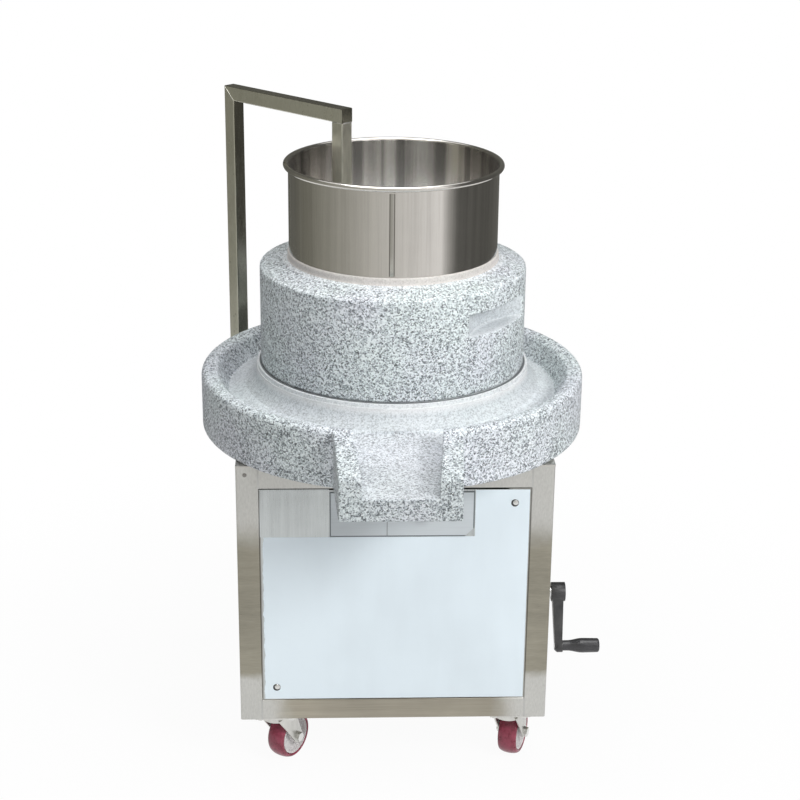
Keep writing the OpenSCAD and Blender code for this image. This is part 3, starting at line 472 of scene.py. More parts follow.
@dataclass(frozen=True)
class PolishedSteel:
    """Bright rolled sheet with faint rolling lines and handling haze, streaked inside its bore with upright
    bands that are partly painted reflection and brighter towards the back.
    """

    name: str
    tint: Colour = (0.66, 0.64, 0.60)
    rough: float = 0.13
    bore: float = 0.0
    streaks_and_reflections: tuple[tuple[float, Colour], ...] = (
        (0.34, (0.5, 0.5, 0.51)), (0.45, (0.84, 0.84, 0.85)), (0.6, (1.2, 1.2, 1.22)))

    def make(self) -> Material:
        """Builds the sheet's material."""
        g = Graph(self.name)
        lines = g.noise(420.0, 2.0, 0.5, Grain.UPRIGHT.value)
        haze = g.noise(14.0, 4.0, 0.6)
        tint = g.shades(lines * 0.5 + haze * 0.5, self.tint, 0.88)
        rough = self.rough + (haze - 0.5) * 0.12 + (lines - 0.5) * 0.05
        if self.bore:
            inside = g.radius().rise(self.bore, self.bore - 0.4 * MM)
            # Painted reflection: the bore's upright bands stand partly for reflections and are made brighter
            # towards the back of the bore.
            behind = abs(g.turn()).rise(2.1, 2.6)
            streak_and_reflection = g.toned(g.ramp(g.bands(5.5, 4.0), self.streaks_and_reflections), 0.76 + behind * 0.62)
            tint = g.mix(inside, tint, g.times(tint, streak_and_reflection))
            rough = rough + inside * 0.1
        return g.surface(tint, rough, 1.0, g.bump(lines, 0.02 * MM, 0.15))


@dataclass(frozen=True)
class Coating:
    """Paint, plastic or rubber with a fine skin texture and slight wear."""

    name: str
    tint: Colour
    rough: float = 0.4
    worn: Colour | None = None
    skin: float = 900.0
    depth: float = 0.12 * MM
    metal: float = 0.0
    blotch: float = 35.0

    def make(self) -> Material:
        """Builds the coating's material."""
        g = Graph(self.name)
        skin = g.noise(self.skin, 3.0, 0.6)
        cloud = g.noise(self.blotch, 3.0, 0.6)
        worn = self.worn or tuple(min(1.0, c * 1.35 + 0.01) for c in self.tint)
        tint = g.ramp(cloud * 0.7 + skin * 0.3, [(0.38, self.tint), (0.72, worn)])
        return g.surface(tint, self.rough + (cloud - 0.5) * 0.25, self.metal, g.bump(skin, self.depth, 0.4))


@dataclass(frozen=True)
class Film:
    """Pale protective film with soft wrinkles and trapped air, darker towards the right as painted shade."""

    name: str
    tint: Colour = (0.83, 0.93, 0.99)

    def make(self) -> Material:
        """Builds the film's material."""
        g = Graph(self.name)
        wrinkle = g.noise(26.0, 3.0, 0.6, (1.0, 1.0, 0.16))
        air = g.noise(9.0)
        # Painted shade: the film darkens towards the right.
        draw = air * 0.6 + wrinkle * 0.4 - g.axis("X").rise(-0.06, 0.2) * 0.25
        tint = g.shades(draw, self.tint, 0.91, 0.1, 0.55)
        rough = 0.34 + (air - 0.5) * 0.2
        return g.surface(tint, rough, 0.0, g.bump(wrinkle, 0.5 * MM, 0.35), Coat_Weight=0.25)


@dataclass(frozen=True)
class PlatePrint:
    """Satin control plate with a thin dark line round its edge and one divider, otherwise bare."""

    name: str
    low: Point
    high: Point
    tint: Colour = (0.60, 0.645, 0.67)
    line: Colour = (0.12, 0.14, 0.15)
    divider: float = -0.012

    def make(self) -> Material:
        """Builds the plate's material."""
        g = Graph(self.name)
        x, z = g.axis("X"), g.axis("Z")
        inset = (x - self.low[0]).least(self.high[0] - x).least(z - self.low[2]).least(self.high[2] - z)
        edge = inset.rise(2.2 * MM, 1.4 * MM)
        divide = abs(x - self.divider).rise(0.9 * MM, 0.4 * MM)
        brushed = g.noise(800.0, 2.0, 0.6, Grain.ACROSS.value)
        tint = g.mix(edge.most(divide * 0.7), g.shades(brushed, self.tint, 0.93), self.line)
        return g.surface(tint, 0.38 + (brushed - 0.5) * 0.15, 0.0, g.bump(brushed, 0.03 * MM, 0.3))


def select(obj: Piece) -> None:
    """Selects one object alone and makes it active."""
    bpy.ops.object.select_all(action="DESELECT")
    obj.select_set(True)
    bpy.context.view_layer.objects.active = obj


def named(obj: Piece, name: str) -> Piece:
    """Names a piece and its mesh alike."""
    obj.name = obj.data.name = name
    return obj


def started(name: str, add: Callable[..., Any], **settings: Any) -> Piece:
    """Adds a primitive by its operator and settings, and gives it that name."""
    add(**settings)
    return named(bpy.context.active_object, name)


def cylinder(name: str, sides: int, radius: float, depth: float, middle: Sequence[float],
             **more: Any) -> Piece:
    """A cylinder of that many sides."""
    return started(name, bpy.ops.mesh.primitive_cylinder_add, vertices=sides, radius=radius, depth=depth,
                   location=middle, **more)


def modified(obj: Piece, kind: str, **settings: Any) -> None:
    """Adds a modifier and applies it.

    Args:
        obj: the piece.
        kind: the modifier's type.
        settings: the modifier's settings.
    """
    select(obj)
    modifier = obj.modifiers.new(kind.title(), kind)
    for key, value in settings.items():
        setattr(modifier, key, value)
    bpy.ops.object.modifier_apply(modifier=modifier.name)


def eased(obj: Piece, width: float, segments: int = 2, **more: Any) -> None:
    """Bevels the piece's sharp edges."""
    modified(obj, "BEVEL", width=width, segments=segments, limit_method="ANGLE", **more)


def settled(obj: Piece, angle: float = 35.0) -> Piece:
    """Puts the piece's place into its mesh and shades it smooth.

    Args:
        obj: the piece.
        angle: the sharpest edge that is shaded smooth, in degrees.

    Returns:
        The piece.
    """
    select(obj)
    bpy.ops.object.transform_apply()
    bpy.ops.object.shade_smooth_by_angle(angle=math.radians(angle))
    return obj


def dished(obj: Piece, faces: Callable[[Vector], bool], border: float, move: Point) -> None:
    """Insets some faces and moves them in.

    Args:
        obj: the piece.
        faces: a test of their normals.
        border: width of the border that stays.
        move: the way that they move.
    """
    select(obj)
    bpy.ops.object.mode_set(mode="EDIT")
    bpy.ops.mesh.select_mode(type="FACE")
    bpy.ops.mesh.select_all(action="DESELECT")
    bpy.ops.object.mode_set(mode="OBJECT")
    for face in obj.data.polygons:
        face.select = faces(face.normal)
    bpy.ops.object.mode_set(mode="EDIT")
    bpy.ops.mesh.inset(thickness=border)
    bpy.ops.transform.translate(value=move)
    bpy.ops.object.mode_set(mode="OBJECT")


def merged_copy(node: str, name: str) -> Piece:
    """Copies a solid's mesh into a new piece and merges its loose triangles.

    Args:
        node: the solid that is copied.
        name: the new piece's name.

    Returns:
        The new object.
    """
    obj = named(bpy.data.objects.new(name, bpy.data.objects[node].data.copy()), name)
    obj.data.materials.clear()
    bpy.context.scene.collection.objects.link(obj)
    select(obj)
    bpy.ops.mesh.customdata_custom_splitnormals_clear()
    bpy.ops.object.mode_set(mode="EDIT")
    bpy.ops.mesh.select_all(action="SELECT")
    bpy.ops.mesh.remove_doubles(threshold=0.01 * MM)
    bpy.ops.mesh.normals_make_consistent(inside=False)
    bpy.ops.object.mode_set(mode="OBJECT")
    return obj


def eased_copy(node: str, name: str, width: float) -> Piece:
    """Copies a solid with its edges eased.

    Args:
        node: the solid that is copied.
        name: the new piece's name.
        width: width of the eased edge.

    Returns:
        The new object.
    """
    obj = merged_copy(node, name)
    modified(obj, "DECIMATE", decimate_type="DISSOLVE", angle_limit=math.radians(1.0))
    eased(obj, width, angle_limit=math.radians(32))
    return settled(obj)


def uneven(obj: Piece, scale: float, layers: int, **settings: Any) -> None:
    """Displaces a piece by a cloud texture.

    Args:
        obj: the piece.
        scale: size of the clouds.
        layers: number of their finer layers.
        settings: the modifier's settings.
    """
    clouds = bpy.data.textures.new(obj.name + "_clouds", "CLOUDS")
    clouds.noise_scale = scale
    clouds.noise_depth = layers
    modified(obj, "DISPLACE", texture=clouds, texture_coords="LOCAL", **settings)


def worn_copy(node: str, name: str, voxel: float, keep: float) -> Piece:
    """Copies a solid as dressed stone, with narrow rubbed edges and a slightly uneven face.

    Args:
        node: the solid that is copied.
        name: the new piece's name.
        voxel: size of the new mesh's faces.
        keep: share of the faces that is kept in the end.

    Returns:
        The new object.
    """
    obj = merged_copy(node, name)
    modified(obj, "REMESH", mode="VOXEL", voxel_size=voxel)
    modified(obj, "SMOOTH", factor=0.5, iterations=1)
    uneven(obj, 9 * MM, 3, strength=0.35 * MM, mid_level=1.0)
    modified(obj, "DECIMATE", decimate_type="COLLAPSE", ratio=keep)
    return settled(obj, 60.0)


def block(name: str, low: Sequence[float], high: Sequence[float], edge: float) -> Piece:
    """A box with eased edges.

    Args:
        name: the piece's name.
        low: its lowest corner.
        high: its highest corner.
        edge: width of the eased edges.

    Returns:
        The new object.
    """
    middle = (Vector(low) + Vector(high)) / 2
    obj = started(name, bpy.ops.mesh.primitive_cube_add, size=1.0, location=middle)
    obj.scale = Vector(high) - Vector(low)
    bpy.ops.object.transform_apply()
    eased(obj, edge)
    return settled(obj)


def joined(name: str, parts: Sequence[Piece]) -> Piece:
    """Joins several objects into one.

    Args:
        name: the new piece's name.
        parts: the objects.

    Returns:
        The first of them, which takes in the others.
    """
    select(parts[0])
    for part in parts[1:]:
        part.select_set(True)
    bpy.ops.object.join()
    return named(parts[0], name)


def carved(obj: Piece, cutter: Piece) -> None:
    """Cuts one piece out of another and throws the cutter away."""
    modified(obj, "BOOLEAN", operation="DIFFERENCE", object=cutter, solver="EXACT")
    bpy.data.objects.remove(cutter, do_unlink=True)


def bead(middle: Vector, along: Vector, outward: Vector, size: Point) -> Piece:
    """A small block with its length, width and height along given directions.

    Args:
        middle: its middle.
        along: the way its length runs.
        outward: the way its height runs.
        size: length, width and height.

    Returns:
        The new object.
    """
    half = Vector(size) / 2
    obj = block("bead", -half, half, min(size) * 0.3)
    turn = Matrix((along, outward.cross(along), outward)).transposed().to_4x4()
    obj.matrix_world = Matrix.Translation(middle) @ turn
    return settled(obj)


def hex_bolt(place: Point, outward: Point, across: float, height: float) -> Piece:
    """A hexagon head with a washer and a chamfered, dished top.

    Args:
        place: where its washer meets the face.
        outward: the way out of that face.
        across: width of the head between its corners.
        height: height of the head.

    Returns:
        The new object.
    """
    washer = cylinder("washer", 24, across * 0.72, height * 0.3, (0, 0, height * 0.15))
    eased(washer, height * 0.08, 1)
    head = cylinder("head", 6, across / 2, height, (0, 0, height * 0.8))
    dished(head, lambda normal: normal.z > 0.9, across * 0.09, (0, 0, -height * 0.12))
    eased(head, height * 0.07, angle_limit=math.radians(25))
    bolt = joined("bolt", [washer, head])
    turn = Vector(outward).to_track_quat("Z", "Y").to_matrix().to_4x4()
    bolt.matrix_world = Matrix.Translation(place) @ turn
    return settled(bolt)


@dataclass
class Assembly:
    """A group of pieces that are built and dressed together."""

    def dress(self, finish: Material, *nodes: str) -> None:
        """Gives solids that stay in view their finish.

        Args:
            finish: their material.
            nodes: the solids' names.
        """
        for name in nodes:
            materials = bpy.data.objects[name].data.materials
            materials.clear()
            materials.append(finish)

    def place(self, obj: Piece, slot: str, finish: Material, *replaced: str,
              body: str = Body.CABINET.value) -> None:
        """Finishes a new piece and hands it to its body.

        Args:
            obj: the piece.
            slot: the record's material slot that goes with the piece; not used.
            finish: its material.
            replaced: the solids that it stands for.
            body: the body that it rides on.
        """
        self.dress(finish, obj.name)
        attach(obj, body)
        if replaced:
            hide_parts(*replaced)
        LOG.info("%s rides on %s with %d faces", obj.name, body, len(obj.data.polygons))


@dataclass
class Stones(Assembly):
    """Trough stone with its spout, bed stone and runner stone."""

    trough_voxel: float = 1.9 * MM
    trough_keep: float = 0.34
    runner_voxel: float = 1.7 * MM
    runner_keep: float = 0.36
    smooth_inside: float = 0.2495
    rim_inside: float = 0.2655
    chute: Span = (0.2235, 0.067)
    spout: float = 0.285
    hold: Span = (0.7030, 0.7370)
    hold_radius: float = 0.1980
    ledge: float = 0.7052
    seat_foot: float = 0.7767
    cove_radius: float = 0.2345
    bed_radius: float = 0.2055
    bed_foot: float = 0.590
    gap_shade_radius: float = 0.2030
    cove: float = 29 * MM
    floor_lean: float = 24.1
    sides: int = 180

    def build(self) -> None:
        """Makes the dressed stones, the cove at the bed's foot and the bed's finish."""
        trough = worn_copy("trough_stone", "carved_trough", self.trough_voxel, self.trough_keep)
        self.place(trough, "granite", Granite(
            "trough_granite", smooth_radius=self.smooth_inside, wall_shade_radius=self.rim_inside,
            chute=self.chute, spout=self.spout).make(), "trough_stone")
        runner = worn_copy("runner_stone", "turning_stone", self.runner_voxel, self.runner_keep)
        self.place(runner, "granite_runner", Granite(
            "runner_granite", mortar_and_light_above=self.seat_foot, smooth_radius=self.hold_radius, smooth_share=0.4,
            edge_shade=0.96, hold=self.hold, ledge=self.ledge, lit_top_above=self.seat_foot - 2.2 * MM).make(),
            "runner_stone", body=Body.RUNNER.value)
        # Painted light: the bed stone is much paler than the other stones, standing for light on its steep
        # side; its dark ring at the gap is painted shade.
        self.dress(Granite(
            "bed_granite", smooth_radius=2 * self.bed_radius, smooth_share=0.75, light=(0.86, 0.89, 0.91),
            pale=(0.96, 0.975, 0.98), gap_shade_radius=self.gap_shade_radius).make(), "bed_stone")
        # The cove's smooth colour is a little darker as painted shade in its hollow, and the near-white band
        # at its top is painted light on the bed's rounded edge.
        self.place(self.bed_cove(), "granite", Granite(
            "cove_granite", smooth_radius=self.cove_radius, smooth_share=0.6, light=(0.58, 0.62, 0.645),
            pale=(0.76, 0.795, 0.815), mortar_and_light_above=self.bed_foot + 7 * MM, mortar_and_light_soft=11 * MM,
            mortar_and_light=(0.98, 0.99, 0.995)).make())

    def bed_cove(self) -> Piece:
        """Makes the hollow fillet that leads from the bed stone's side into the trough's floor."""
        lean = math.radians(self.floor_lean)
        wall = self.bed_radius + 1 * MM
        rise = self.cove * (1 - math.sin(lean))
        foot, top = self.bed_foot - 10 * MM, self.bed_foot + rise / math.cos(lean)
        ring = cylinder("bed_cove", self.sides, wall + rise, top - foot, (0, 0, (top + foot) / 2))
        carved(ring, cylinder("bore", self.sides, self.bed_radius + 0.1 * MM, 0.1, (0, 0, top)))
        carved(ring, started("scoop", bpy.ops.mesh.primitive_torus_add, major_segments=self.sides,
                             minor_segments=64, major_radius=wall + self.cove, minor_radius=self.cove,
                             location=(0, 0, top)))
        return settled(ring)


@dataclass
class Hopper(Assembly):
    """Sheet hopper with its lapped seam."""

    seam_width: float = 5.5 * MM
    seam_proud: float = 0.4 * MM
    seam_low: float = 2 * MM
    seam_high: float = 11 * MM
    seam_shadow: float = 1.3 * MM
    seam_shadow_proud: float = 0.12 * MM
    radius: float = 0.156
    seam_turn: float = -2.6

    def build(self) -> None:
        """Dresses the sheet and adds the seam between two dark strips that are painted shade."""
        self.dress(PolishedSteel("hopper_steel", bore=self.radius - 0.4 * MM).make(), "hopper")
        self.place(self.strip("hopper_seam", 0.0, self.seam_width, self.seam_proud), "hopper_steel",
                   PolishedSteel("seam_steel", (0.44, 0.43, 0.39), 0.22).make(), body=Body.RUNNER.value)
        # Painted shade: two thin dark strips along the seam's edges stand for the shade there.
        offset = (self.seam_width + self.seam_shadow) / 2
        edges = [self.strip("seam_shadow", side * offset, self.seam_shadow, self.seam_shadow_proud) for side in (-1, 1)]
        self.place(joined("seam_shadow_strips", edges), "hopper_steel",
                   PolishedSteel("seam_shadow_steel", (0.17, 0.16, 0.14), 0.45).make(), body=Body.RUNNER.value)

    def strip(self, name: str, x: float, width: float, proud: float) -> Piece:
        """A flat strip up the front of the hopper.

        Args:
            name: the piece's name.
            x: its middle.
            width: its width.
            proud: how far it stands out of the sheet.

        Returns:
            The new object.
        """
        low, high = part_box("hopper")
        obj = block(name, (x - width / 2, -self.radius - proud, low.z + self.seam_low),
                    (x + width / 2, -self.radius + 0.4 * MM, high.z - self.seam_high), 0.1 * MM)
        obj.rotation_euler = (0, 0, math.radians(self.seam_turn))
        return settled(obj)


@dataclass
class Cabinet(Assembly):
    """Frame, plates, panels, protective film and their small fastenings."""

    bare_right: float = -0.0975
    bare_low: float = 0.4025
    plate_right: float = 0.1175
    film_t: float = 0.15 * MM
    tube: float = 34 * MM
    tube_edge: float = 3 * MM
    screw_inset: float = 21 * MM
    screw_shadow_radius: float = 5.8 * MM
    lip_gap: float = 1.5 * MM
    plug_at: Span = (-0.2195, 0.502)

    def build(self) -> None:
        """Dresses the frame and panels and adds the film and the ground welds."""
        self.low, self.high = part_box("front_panel")
        post = BrushedSteel("post_steel", grain=Grain.GROUND, foot=0.168, top=0.405)
        self.dress(post.make(), "frame_posts")
        rail = BrushedSteel("rail_steel", (0.385, 0.355, 0.29), Grain.ACROSS, corner=0.165, top=0.45)
        self.dress(rail.make(), "frame_rails")
        plate = BrushedSteel("plate_steel", (0.62, 0.61, 0.57), Grain.ACROSS)
        self.dress(plate.make(), "top_plate", "bottom_plate")
        side = BrushedSteel("side_steel", (0.42, 0.40, 0.35))
        self.dress(side.make(), "left_panel", "right_panel", "rear_panel")
        bare = BrushedSteel("bare_front_steel", (0.58, 0.61, 0.61), rough=0.3).make()
        self.dress(bare, "front_panel")
        self.dress(BrushedSteel("ledge_steel", (0.4, 0.39, 0.36)).make(), "panel_ledges")
        self.dress(PolishedSteel("screw_steel", (0.72, 0.72, 0.7)).make(), "panel_screws")
        self.place(self.film(), "film_steel", Film("film").make())
        self.place(self.bare_lip(), "film_steel", bare)
        self.place(self.corner_welds(), "frame_steel",
                   BrushedSteel("ground_weld", (0.56, 0.56, 0.54), Grain.SLANTED).make())
        self.place(self.plug_weld(), "frame_steel", BrushedSteel("weld_steel", (0.3, 0.29, 0.27)).make())
        self.place(self.screw_shadows(), "film_steel", Coating("screw_shadow_paint", (0.03, 0.03, 0.032), 0.6).make())

    def film(self) -> Piece:
        """Lays the film, cut away at the top left and round the control plate, with its left edge torn."""
        rest = 0.4 * MM
        left, right = self.low.x + rest, self.high.x - rest
        foot, top = self.low.z + rest, self.high.z - rest
        sheet = self.film_sheet("protective_film", (left, right), (foot, self.bare_low))
        corner = self.film_sheet("film_corner", (self.plate_right, right), (self.bare_low, top))
        edge = sheet.vertex_groups.new(name="edge")
        edge.add([v.index for v in sheet.data.vertices if v.co.x < left + 0.1 * MM], 1.0, "ADD")
        uneven(sheet, 12 * MM, 3, direction="X", strength=-4.5 * MM, mid_level=1.0, vertex_group="edge")
        for part in (sheet, corner):
            modified(part, "SOLIDIFY", thickness=self.film_t * 0.3, offset=0.0)
            settled(part)
        return joined("protective_film", [sheet, corner])

    def film_sheet(self, name: str, across: Span, up: Span) -> Piece:
        """One wrinkled sheet of film on the front panel, still without thickness.

        Args:
            name: the piece's name.
            across: its left and right edges.
            up: its lower and upper edges.

        Returns:
            The new object.
        """
        middle = (sum(across) / 2, self.low.y - self.film_t / 2, sum(up) / 2)
        obj = started(name, bpy.ops.mesh.primitive_grid_add, x_subdivisions=60, y_subdivisions=120, size=1.0,
                      location=middle, rotation=(QUARTER, 0, 0))
        obj.scale = (across[1] - across[0], up[1] - up[0], 1.0)
        settled(obj)
        uneven(obj, 60 * MM, 2, direction="Y", strength=0.1 * MM, mid_level=0.5)
        return obj

    def bare_lip(self) -> Piece:
        """Folds the bare sheet's upper left edge up to the frame."""
        y0, y1 = self.low.y + 0.1 * MM, self.low.y + 1.4 * MM
        left, lap = self.low.x - self.lip_gap, 0.1 * MM
        side = block("lip_side", (left, y0, self.bare_low), (self.low.x + lap, y1, self.high.z), lap)
        top = block("lip_top", (left, y0, self.high.z - lap),
                    (self.bare_right, y1, self.high.z + self.lip_gap), lap)
        return joined("bare_lip", [side, top])

    def screw_shadows(self) -> Piece:
        """Puts a thin dark ring under each of the front panel's two screws, offset to the lower left, as
        their painted shadow.
        """
        made = []
        for x, z in ((self.low.x + self.screw_inset, self.low.z + self.screw_inset),
                     (self.high.x - self.screw_inset, self.high.z - self.screw_inset)):
            # Painted shadow: the ring is shifted down and to the left of the screw head.
            middle = (x - 1.0 * MM, self.low.y - 0.1 * MM, z - 0.8 * MM)
            screw_shadow = cylinder("screw_shadow", 32, self.screw_shadow_radius, 0.4 * MM, middle, rotation=(QUARTER, 0, 0))
            settled(screw_shadow)
            dished(screw_shadow, lambda normal: normal.y < -0.9, 0.7 * MM, (0, 0.15 * MM, 0))
            eased(screw_shadow, 0.08 * MM)
            made.append(screw_shadow)
        return joined("screw_shadows", made)

    def corner_welds(self) -> Piece:
        """Fills the grooves between posts and rails with welds that are ground flush."""
        low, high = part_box("frame_posts")
        inner, skin, deep = self.tube + 0.2 * MM, 0.03 * MM, 2.4 * MM
        outer = self.tube - self.tube_edge
        ends = list(zip(low.xy, high.xy))
        groove_x, groove_y = [((a + outer, a + inner), (b - inner, b - outer)) for a, b in ends]
        face_x, face_y = [((a + skin, a + deep), (b - deep, b - skin)) for a, b in ends]
        spots = [*product(groove_x, face_y), *((x, y) for y, x in product(groove_y, face_x))]
        levels, length = (low.z + 1 * MM, high.z - self.tube + 1 * MM), self.tube - 2 * MM
        return joined("corner_welds", [
            block("weld", (x[0], y[0], z), (x[1], y[1], z + length), 0.2 * MM)
            for z, (x, y) in product(levels, spots)])

    def plug_weld(self) -> Piece:
        """Makes the ground plug weld at the top of the left front post."""
        middle = (self.plug_at[0], self.low.y - 0.2 * MM, self.plug_at[1])
        weld = cylinder("plug_weld", 32, 3.2 * MM, 0.6 * MM, middle, rotation=(QUARTER, 0, 0))
        eased(weld, 0.25 * MM)
        return settled(weld)


@dataclass
class Controls(Assembly):
    """Control plate, buttons, knob and cable gland."""

    def build(self) -> None:
        """Dresses the controls."""
        low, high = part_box("control_plate")
        self.dress(PlatePrint("control_sheet", tuple(low), tuple(high)).make(), "control_plate")
        self.dress(Coating("green_button", (0.05, 0.26, 0.09), 0.3).make(), "start_button")
        self.dress(Coating("red_button", (0.45, 0.03, 0.025), 0.3).make(), "stop_button")
        black = Coating("black_plastic", (0.018, 0.018, 0.02), 0.42)
        self.dress(black.make(), "speed_knob", "control_sockets", "cable_gland")
        self.dress(Coating("box_plastic", (0.09, 0.09, 0.1), 0.5).make(), "control_box")


@dataclass
class StirrerArm(Assembly):
    """Arm of square tube with its mitre welds, socket and bolts."""

    tube: float = 22 * MM
    mitre: Point = (27 * MM, 1.6 * MM, 0.7 * MM)
    post: float = 0.3472
    drop: float = 0.1075
    wing_face: float = 0.238
    wing_root: float = 0.233
    wing_reach: float = 44 * MM * 0.62
    bolt_inset: float = 22 * MM

    def build(self) -> None:
        """Dresses the tubes and adds welds and bolts."""
        side = -self.tube / 2 * math.sqrt(2)
        # Painted light: the face on one side of the tubes is made paler, as if lit.
        self.dress(BrushedSteel("arm_steel", (0.42, 0.41, 0.335), Grain.SLANTED, 0.2, 1.0, face=side,
                                paler=(0.86, 0.85, 0.74)).make(), "arm_post", "arm_beam", "arm_socket")
        drop = BrushedSteel("drop_steel", (0.78, 0.77, 0.66), Grain.SLANTED, 0.4, 1.0)
        self.dress(drop.make(), "arm_drop")
        weld = PolishedSteel("weld_bead", (0.86, 0.85, 0.82), 0.36)
        self.place(self.arm_welds(), "arm_steel", weld.make())
        self.place(self.bolts(), "screw_steel", PolishedSteel("bolt_steel", (0.6, 0.6, 0.58)).make())

    def arm_welds(self) -> Piece:
        """Lays thin beads along the post's mitre and round the drop tube's top, under the beam."""
        outward, up = Vector((-1.0, 1.0, 0.0)).normalized(), Vector((0.0, 0.0, 1.0))
        across = outward.cross(up)
        top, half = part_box("arm_post")[1].z, self.tube / 2
        made = []
        for face in (across, -across):
            middle = outward * self.post + up * (top - half) + face * half
            made.append(bead(middle, (outward + up).normalized(), face, self.mitre))
        joint = outward * self.drop + up * (top - self.tube)
        for face, along in ((across, outward), (-across, outward), (outward, across), (-outward, across)):
            proud = (1.4 if face == -outward else 0.7) * MM
            made.append(bead(joint + face * half, along, face, (self.tube - 5 * MM, proud * 1.6, proud)))
        return joined("arm_welds", made)

    def bolts(self) -> Piece:
        """Puts the bolts through the socket's wings."""
        low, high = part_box("arm_socket")
        near = self.wing_root - self.wing_reach
        made = []
        for z in (low.z + self.bolt_inset, high.z - self.bolt_inset):
            made.append(hex_bolt((-near, self.wing_face, z), (0, 1, 0), 10 * MM, 4 * MM))
            made.append(hex_bolt((-self.wing_face, near, z), (-1, 0, 0), 10 * MM, 4 * MM))
        return joined("socket_bolts", made)


@dataclass
class Crank(Assembly):
    """Crank that works the lift."""

    edge: float = 1.6 * MM
    screw_circle: float = 25 * MM
    flange: float = 5 * MM

    def build(self) -> None:
        """Eases the arm's edges and dresses the crank."""
        arm = eased_copy("crank_arm", "eased_crank_arm", self.edge)
        paint = Coating("crank_paint", (0.026, 0.026, 0.028), 0.32, (0.08, 0.08, 0.08)).make()
        self.place(arm, "black_paint", paint, "crank_arm", body=Body.CRANK.value)
        self.dress(Coating("bush_paint", (0.03, 0.03, 0.032), 0.4).make(), "crank_bush")
        self.dress(Coating("grip_plastic", (0.038, 0.038, 0.041), 0.22).make(), "crank_grip")
        steel = PolishedSteel("crank_shaft_steel", (0.7, 0.7, 0.7)).make()
        self.dress(steel, "crank_shaft", "grip_bolt")
        self.place(self.bush_screws(), "screw_steel", steel)

    def bush_screws(self) -> Piece:
        """Puts four screws through the bush's flange."""
        low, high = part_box("crank_bush")
        face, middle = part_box("right_panel")[1].x + self.flange, (low.z + high.z) / 2
        reach = self.screw_circle / math.sqrt(2)
        return joined("bush_screws", [
            hex_bolt((face, y, middle + z), (1, 0, 0), 7 * MM, 2.6 * MM)
            for y, z in ((reach, reach), (-reach, reach), (-reach, -reach), (reach, -reach))])


@dataclass
class Castors(Assembly):
    """Four castors: plates, forks, axles, hubs and tyres."""

    fork_edge: float = 0.8 * MM
    tyre_w: float = 30 * MM
    tyre_t: float = 8 * MM
    wall: float = 3 * MM
    plate: float = 62 * MM
    plate_t: float = 3 * MM
    bolt_at: float = 23.5 * MM

    def build(self) -> None:
        """Eases the forks, crowns the tyres and dresses the castors."""
        zinc = BrushedSteel("zinc_plate", (0.70, 0.695, 0.66), Grain.SLANTED, 0.32).make()
        axle = PolishedSteel("axle_steel", (0.74, 0.74, 0.72)).make()
        hub = Coating("hub_plastic", (0.78, 0.76, 0.76), 0.4, (0.7, 0.68, 0.68)).make()
        tyre = Coating("red_tyre", (0.21, 0.022, 0.045), 0.3, (0.42, 0.075, 0.13), skin=260.0,
                       depth=0.35 * MM, blotch=95.0).make()
        self.dress(zinc, "castor_plates")
        self.place(self.plate_bolts(), "screw_steel", axle)
        for corner in CORNERS:
            fork = eased_copy("castor_fork_" + corner, "pressed_fork_" + corner, self.fork_edge)
            self.place(fork, "zinc", zinc, "castor_fork_" + corner, body="castor_" + corner)
            self.dress(axle, "wheel_axle_" + corner)
            self.dress(hub, "wheel_hub_" + corner)
            self.place(self.crowned_tyre(corner), "red_tyre", tyre, "tyre_" + corner, body="wheel_" + corner)

    def crowned_tyre(self, corner: str) -> Piece:
        """Turns a tyre with a crowned tread in place of the solid's flat one.

        Args:
            corner: the castor's corner.

        Returns:
            The new object.
        """
        low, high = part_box("tyre_" + corner)
        middle = (low + high) / 2
        flat = merged_copy("tyre_" + corner, "flat_tyre")
        spread = [v.co - middle for v in flat.data.vertices]
        turn = math.atan2(sum(2 * s.x * s.y for s in spread), sum(s.x * s.x - s.y * s.y for s in spread)) / 2
        bpy.data.objects.remove(flat)
        rim, crown = (high.z - low.z) / 2 - self.tyre_t, self.tyre_t - self.wall
        upright = (QUARTER, 0, turn)
        tyre = started("crowned_tyre_" + corner, bpy.ops.mesh.primitive_torus_add, major_segments=80,
                       minor_segments=36, major_radius=rim + self.wall, minor_radius=crown, location=middle,
                       rotation=upright)
        tyre.scale = (1.0, 1.0, self.tyre_w / 2 / crown)
        settled(tyre)
        carved(tyre, cylinder("core", 90, rim + 0.15 * MM, 2 * self.tyre_w, middle, rotation=upright))
        return settled(tyre)

    def plate_bolts(self) -> Piece:
        """Puts a bolt through each corner of the castors' plates."""
        low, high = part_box("castor_plates")
        half, shifts = self.plate / 2, (-self.bolt_at, self.bolt_at)
        across, along = [(a + half, b - half) for a, b in zip(low.xy, high.xy)]
        return joined("plate_bolts", [
            hex_bolt((x + dx, y + dy, high.z - self.plate_t), (0, 0, -1), 9 * MM, 3.5 * MM)
            for x, y, dx, dy in product(across, along, shifts, shifts)])


@dataclass
class Drive(Assembly):
    """Pieces inside the cabinet and under the stones."""

    def build(self) -> None:
        """Dresses the drive and the lift."""
        self.dress(PolishedSteel("turned_steel", (0.58, 0.59, 0.6), 0.28).make(), "rynd", "spindle",
                   "pulley_bearings", "motor_shaft", "jack_screw", "thrust_bearing")
        iron = Coating("cast_iron", (0.12, 0.125, 0.13), 0.55, (0.2, 0.2, 0.2), depth=0.3 * MM, metal=0.6)
        self.dress(iron.make(), "bearing_housing", "driven_pulley", "motor_pulley", "jack_housing")
        self.dress(Coating("bronze", (0.42, 0.26, 0.09), 0.35, metal=0.9).make(), "bed_bush")
        self.dress(Coating("belt_rubber", (0.02, 0.02, 0.02), 0.7).make(), "drive_belt")
        self.dress(Coating("motor_paint", (0.09, 0.13, 0.17), 0.42).make(), "gear_motor")


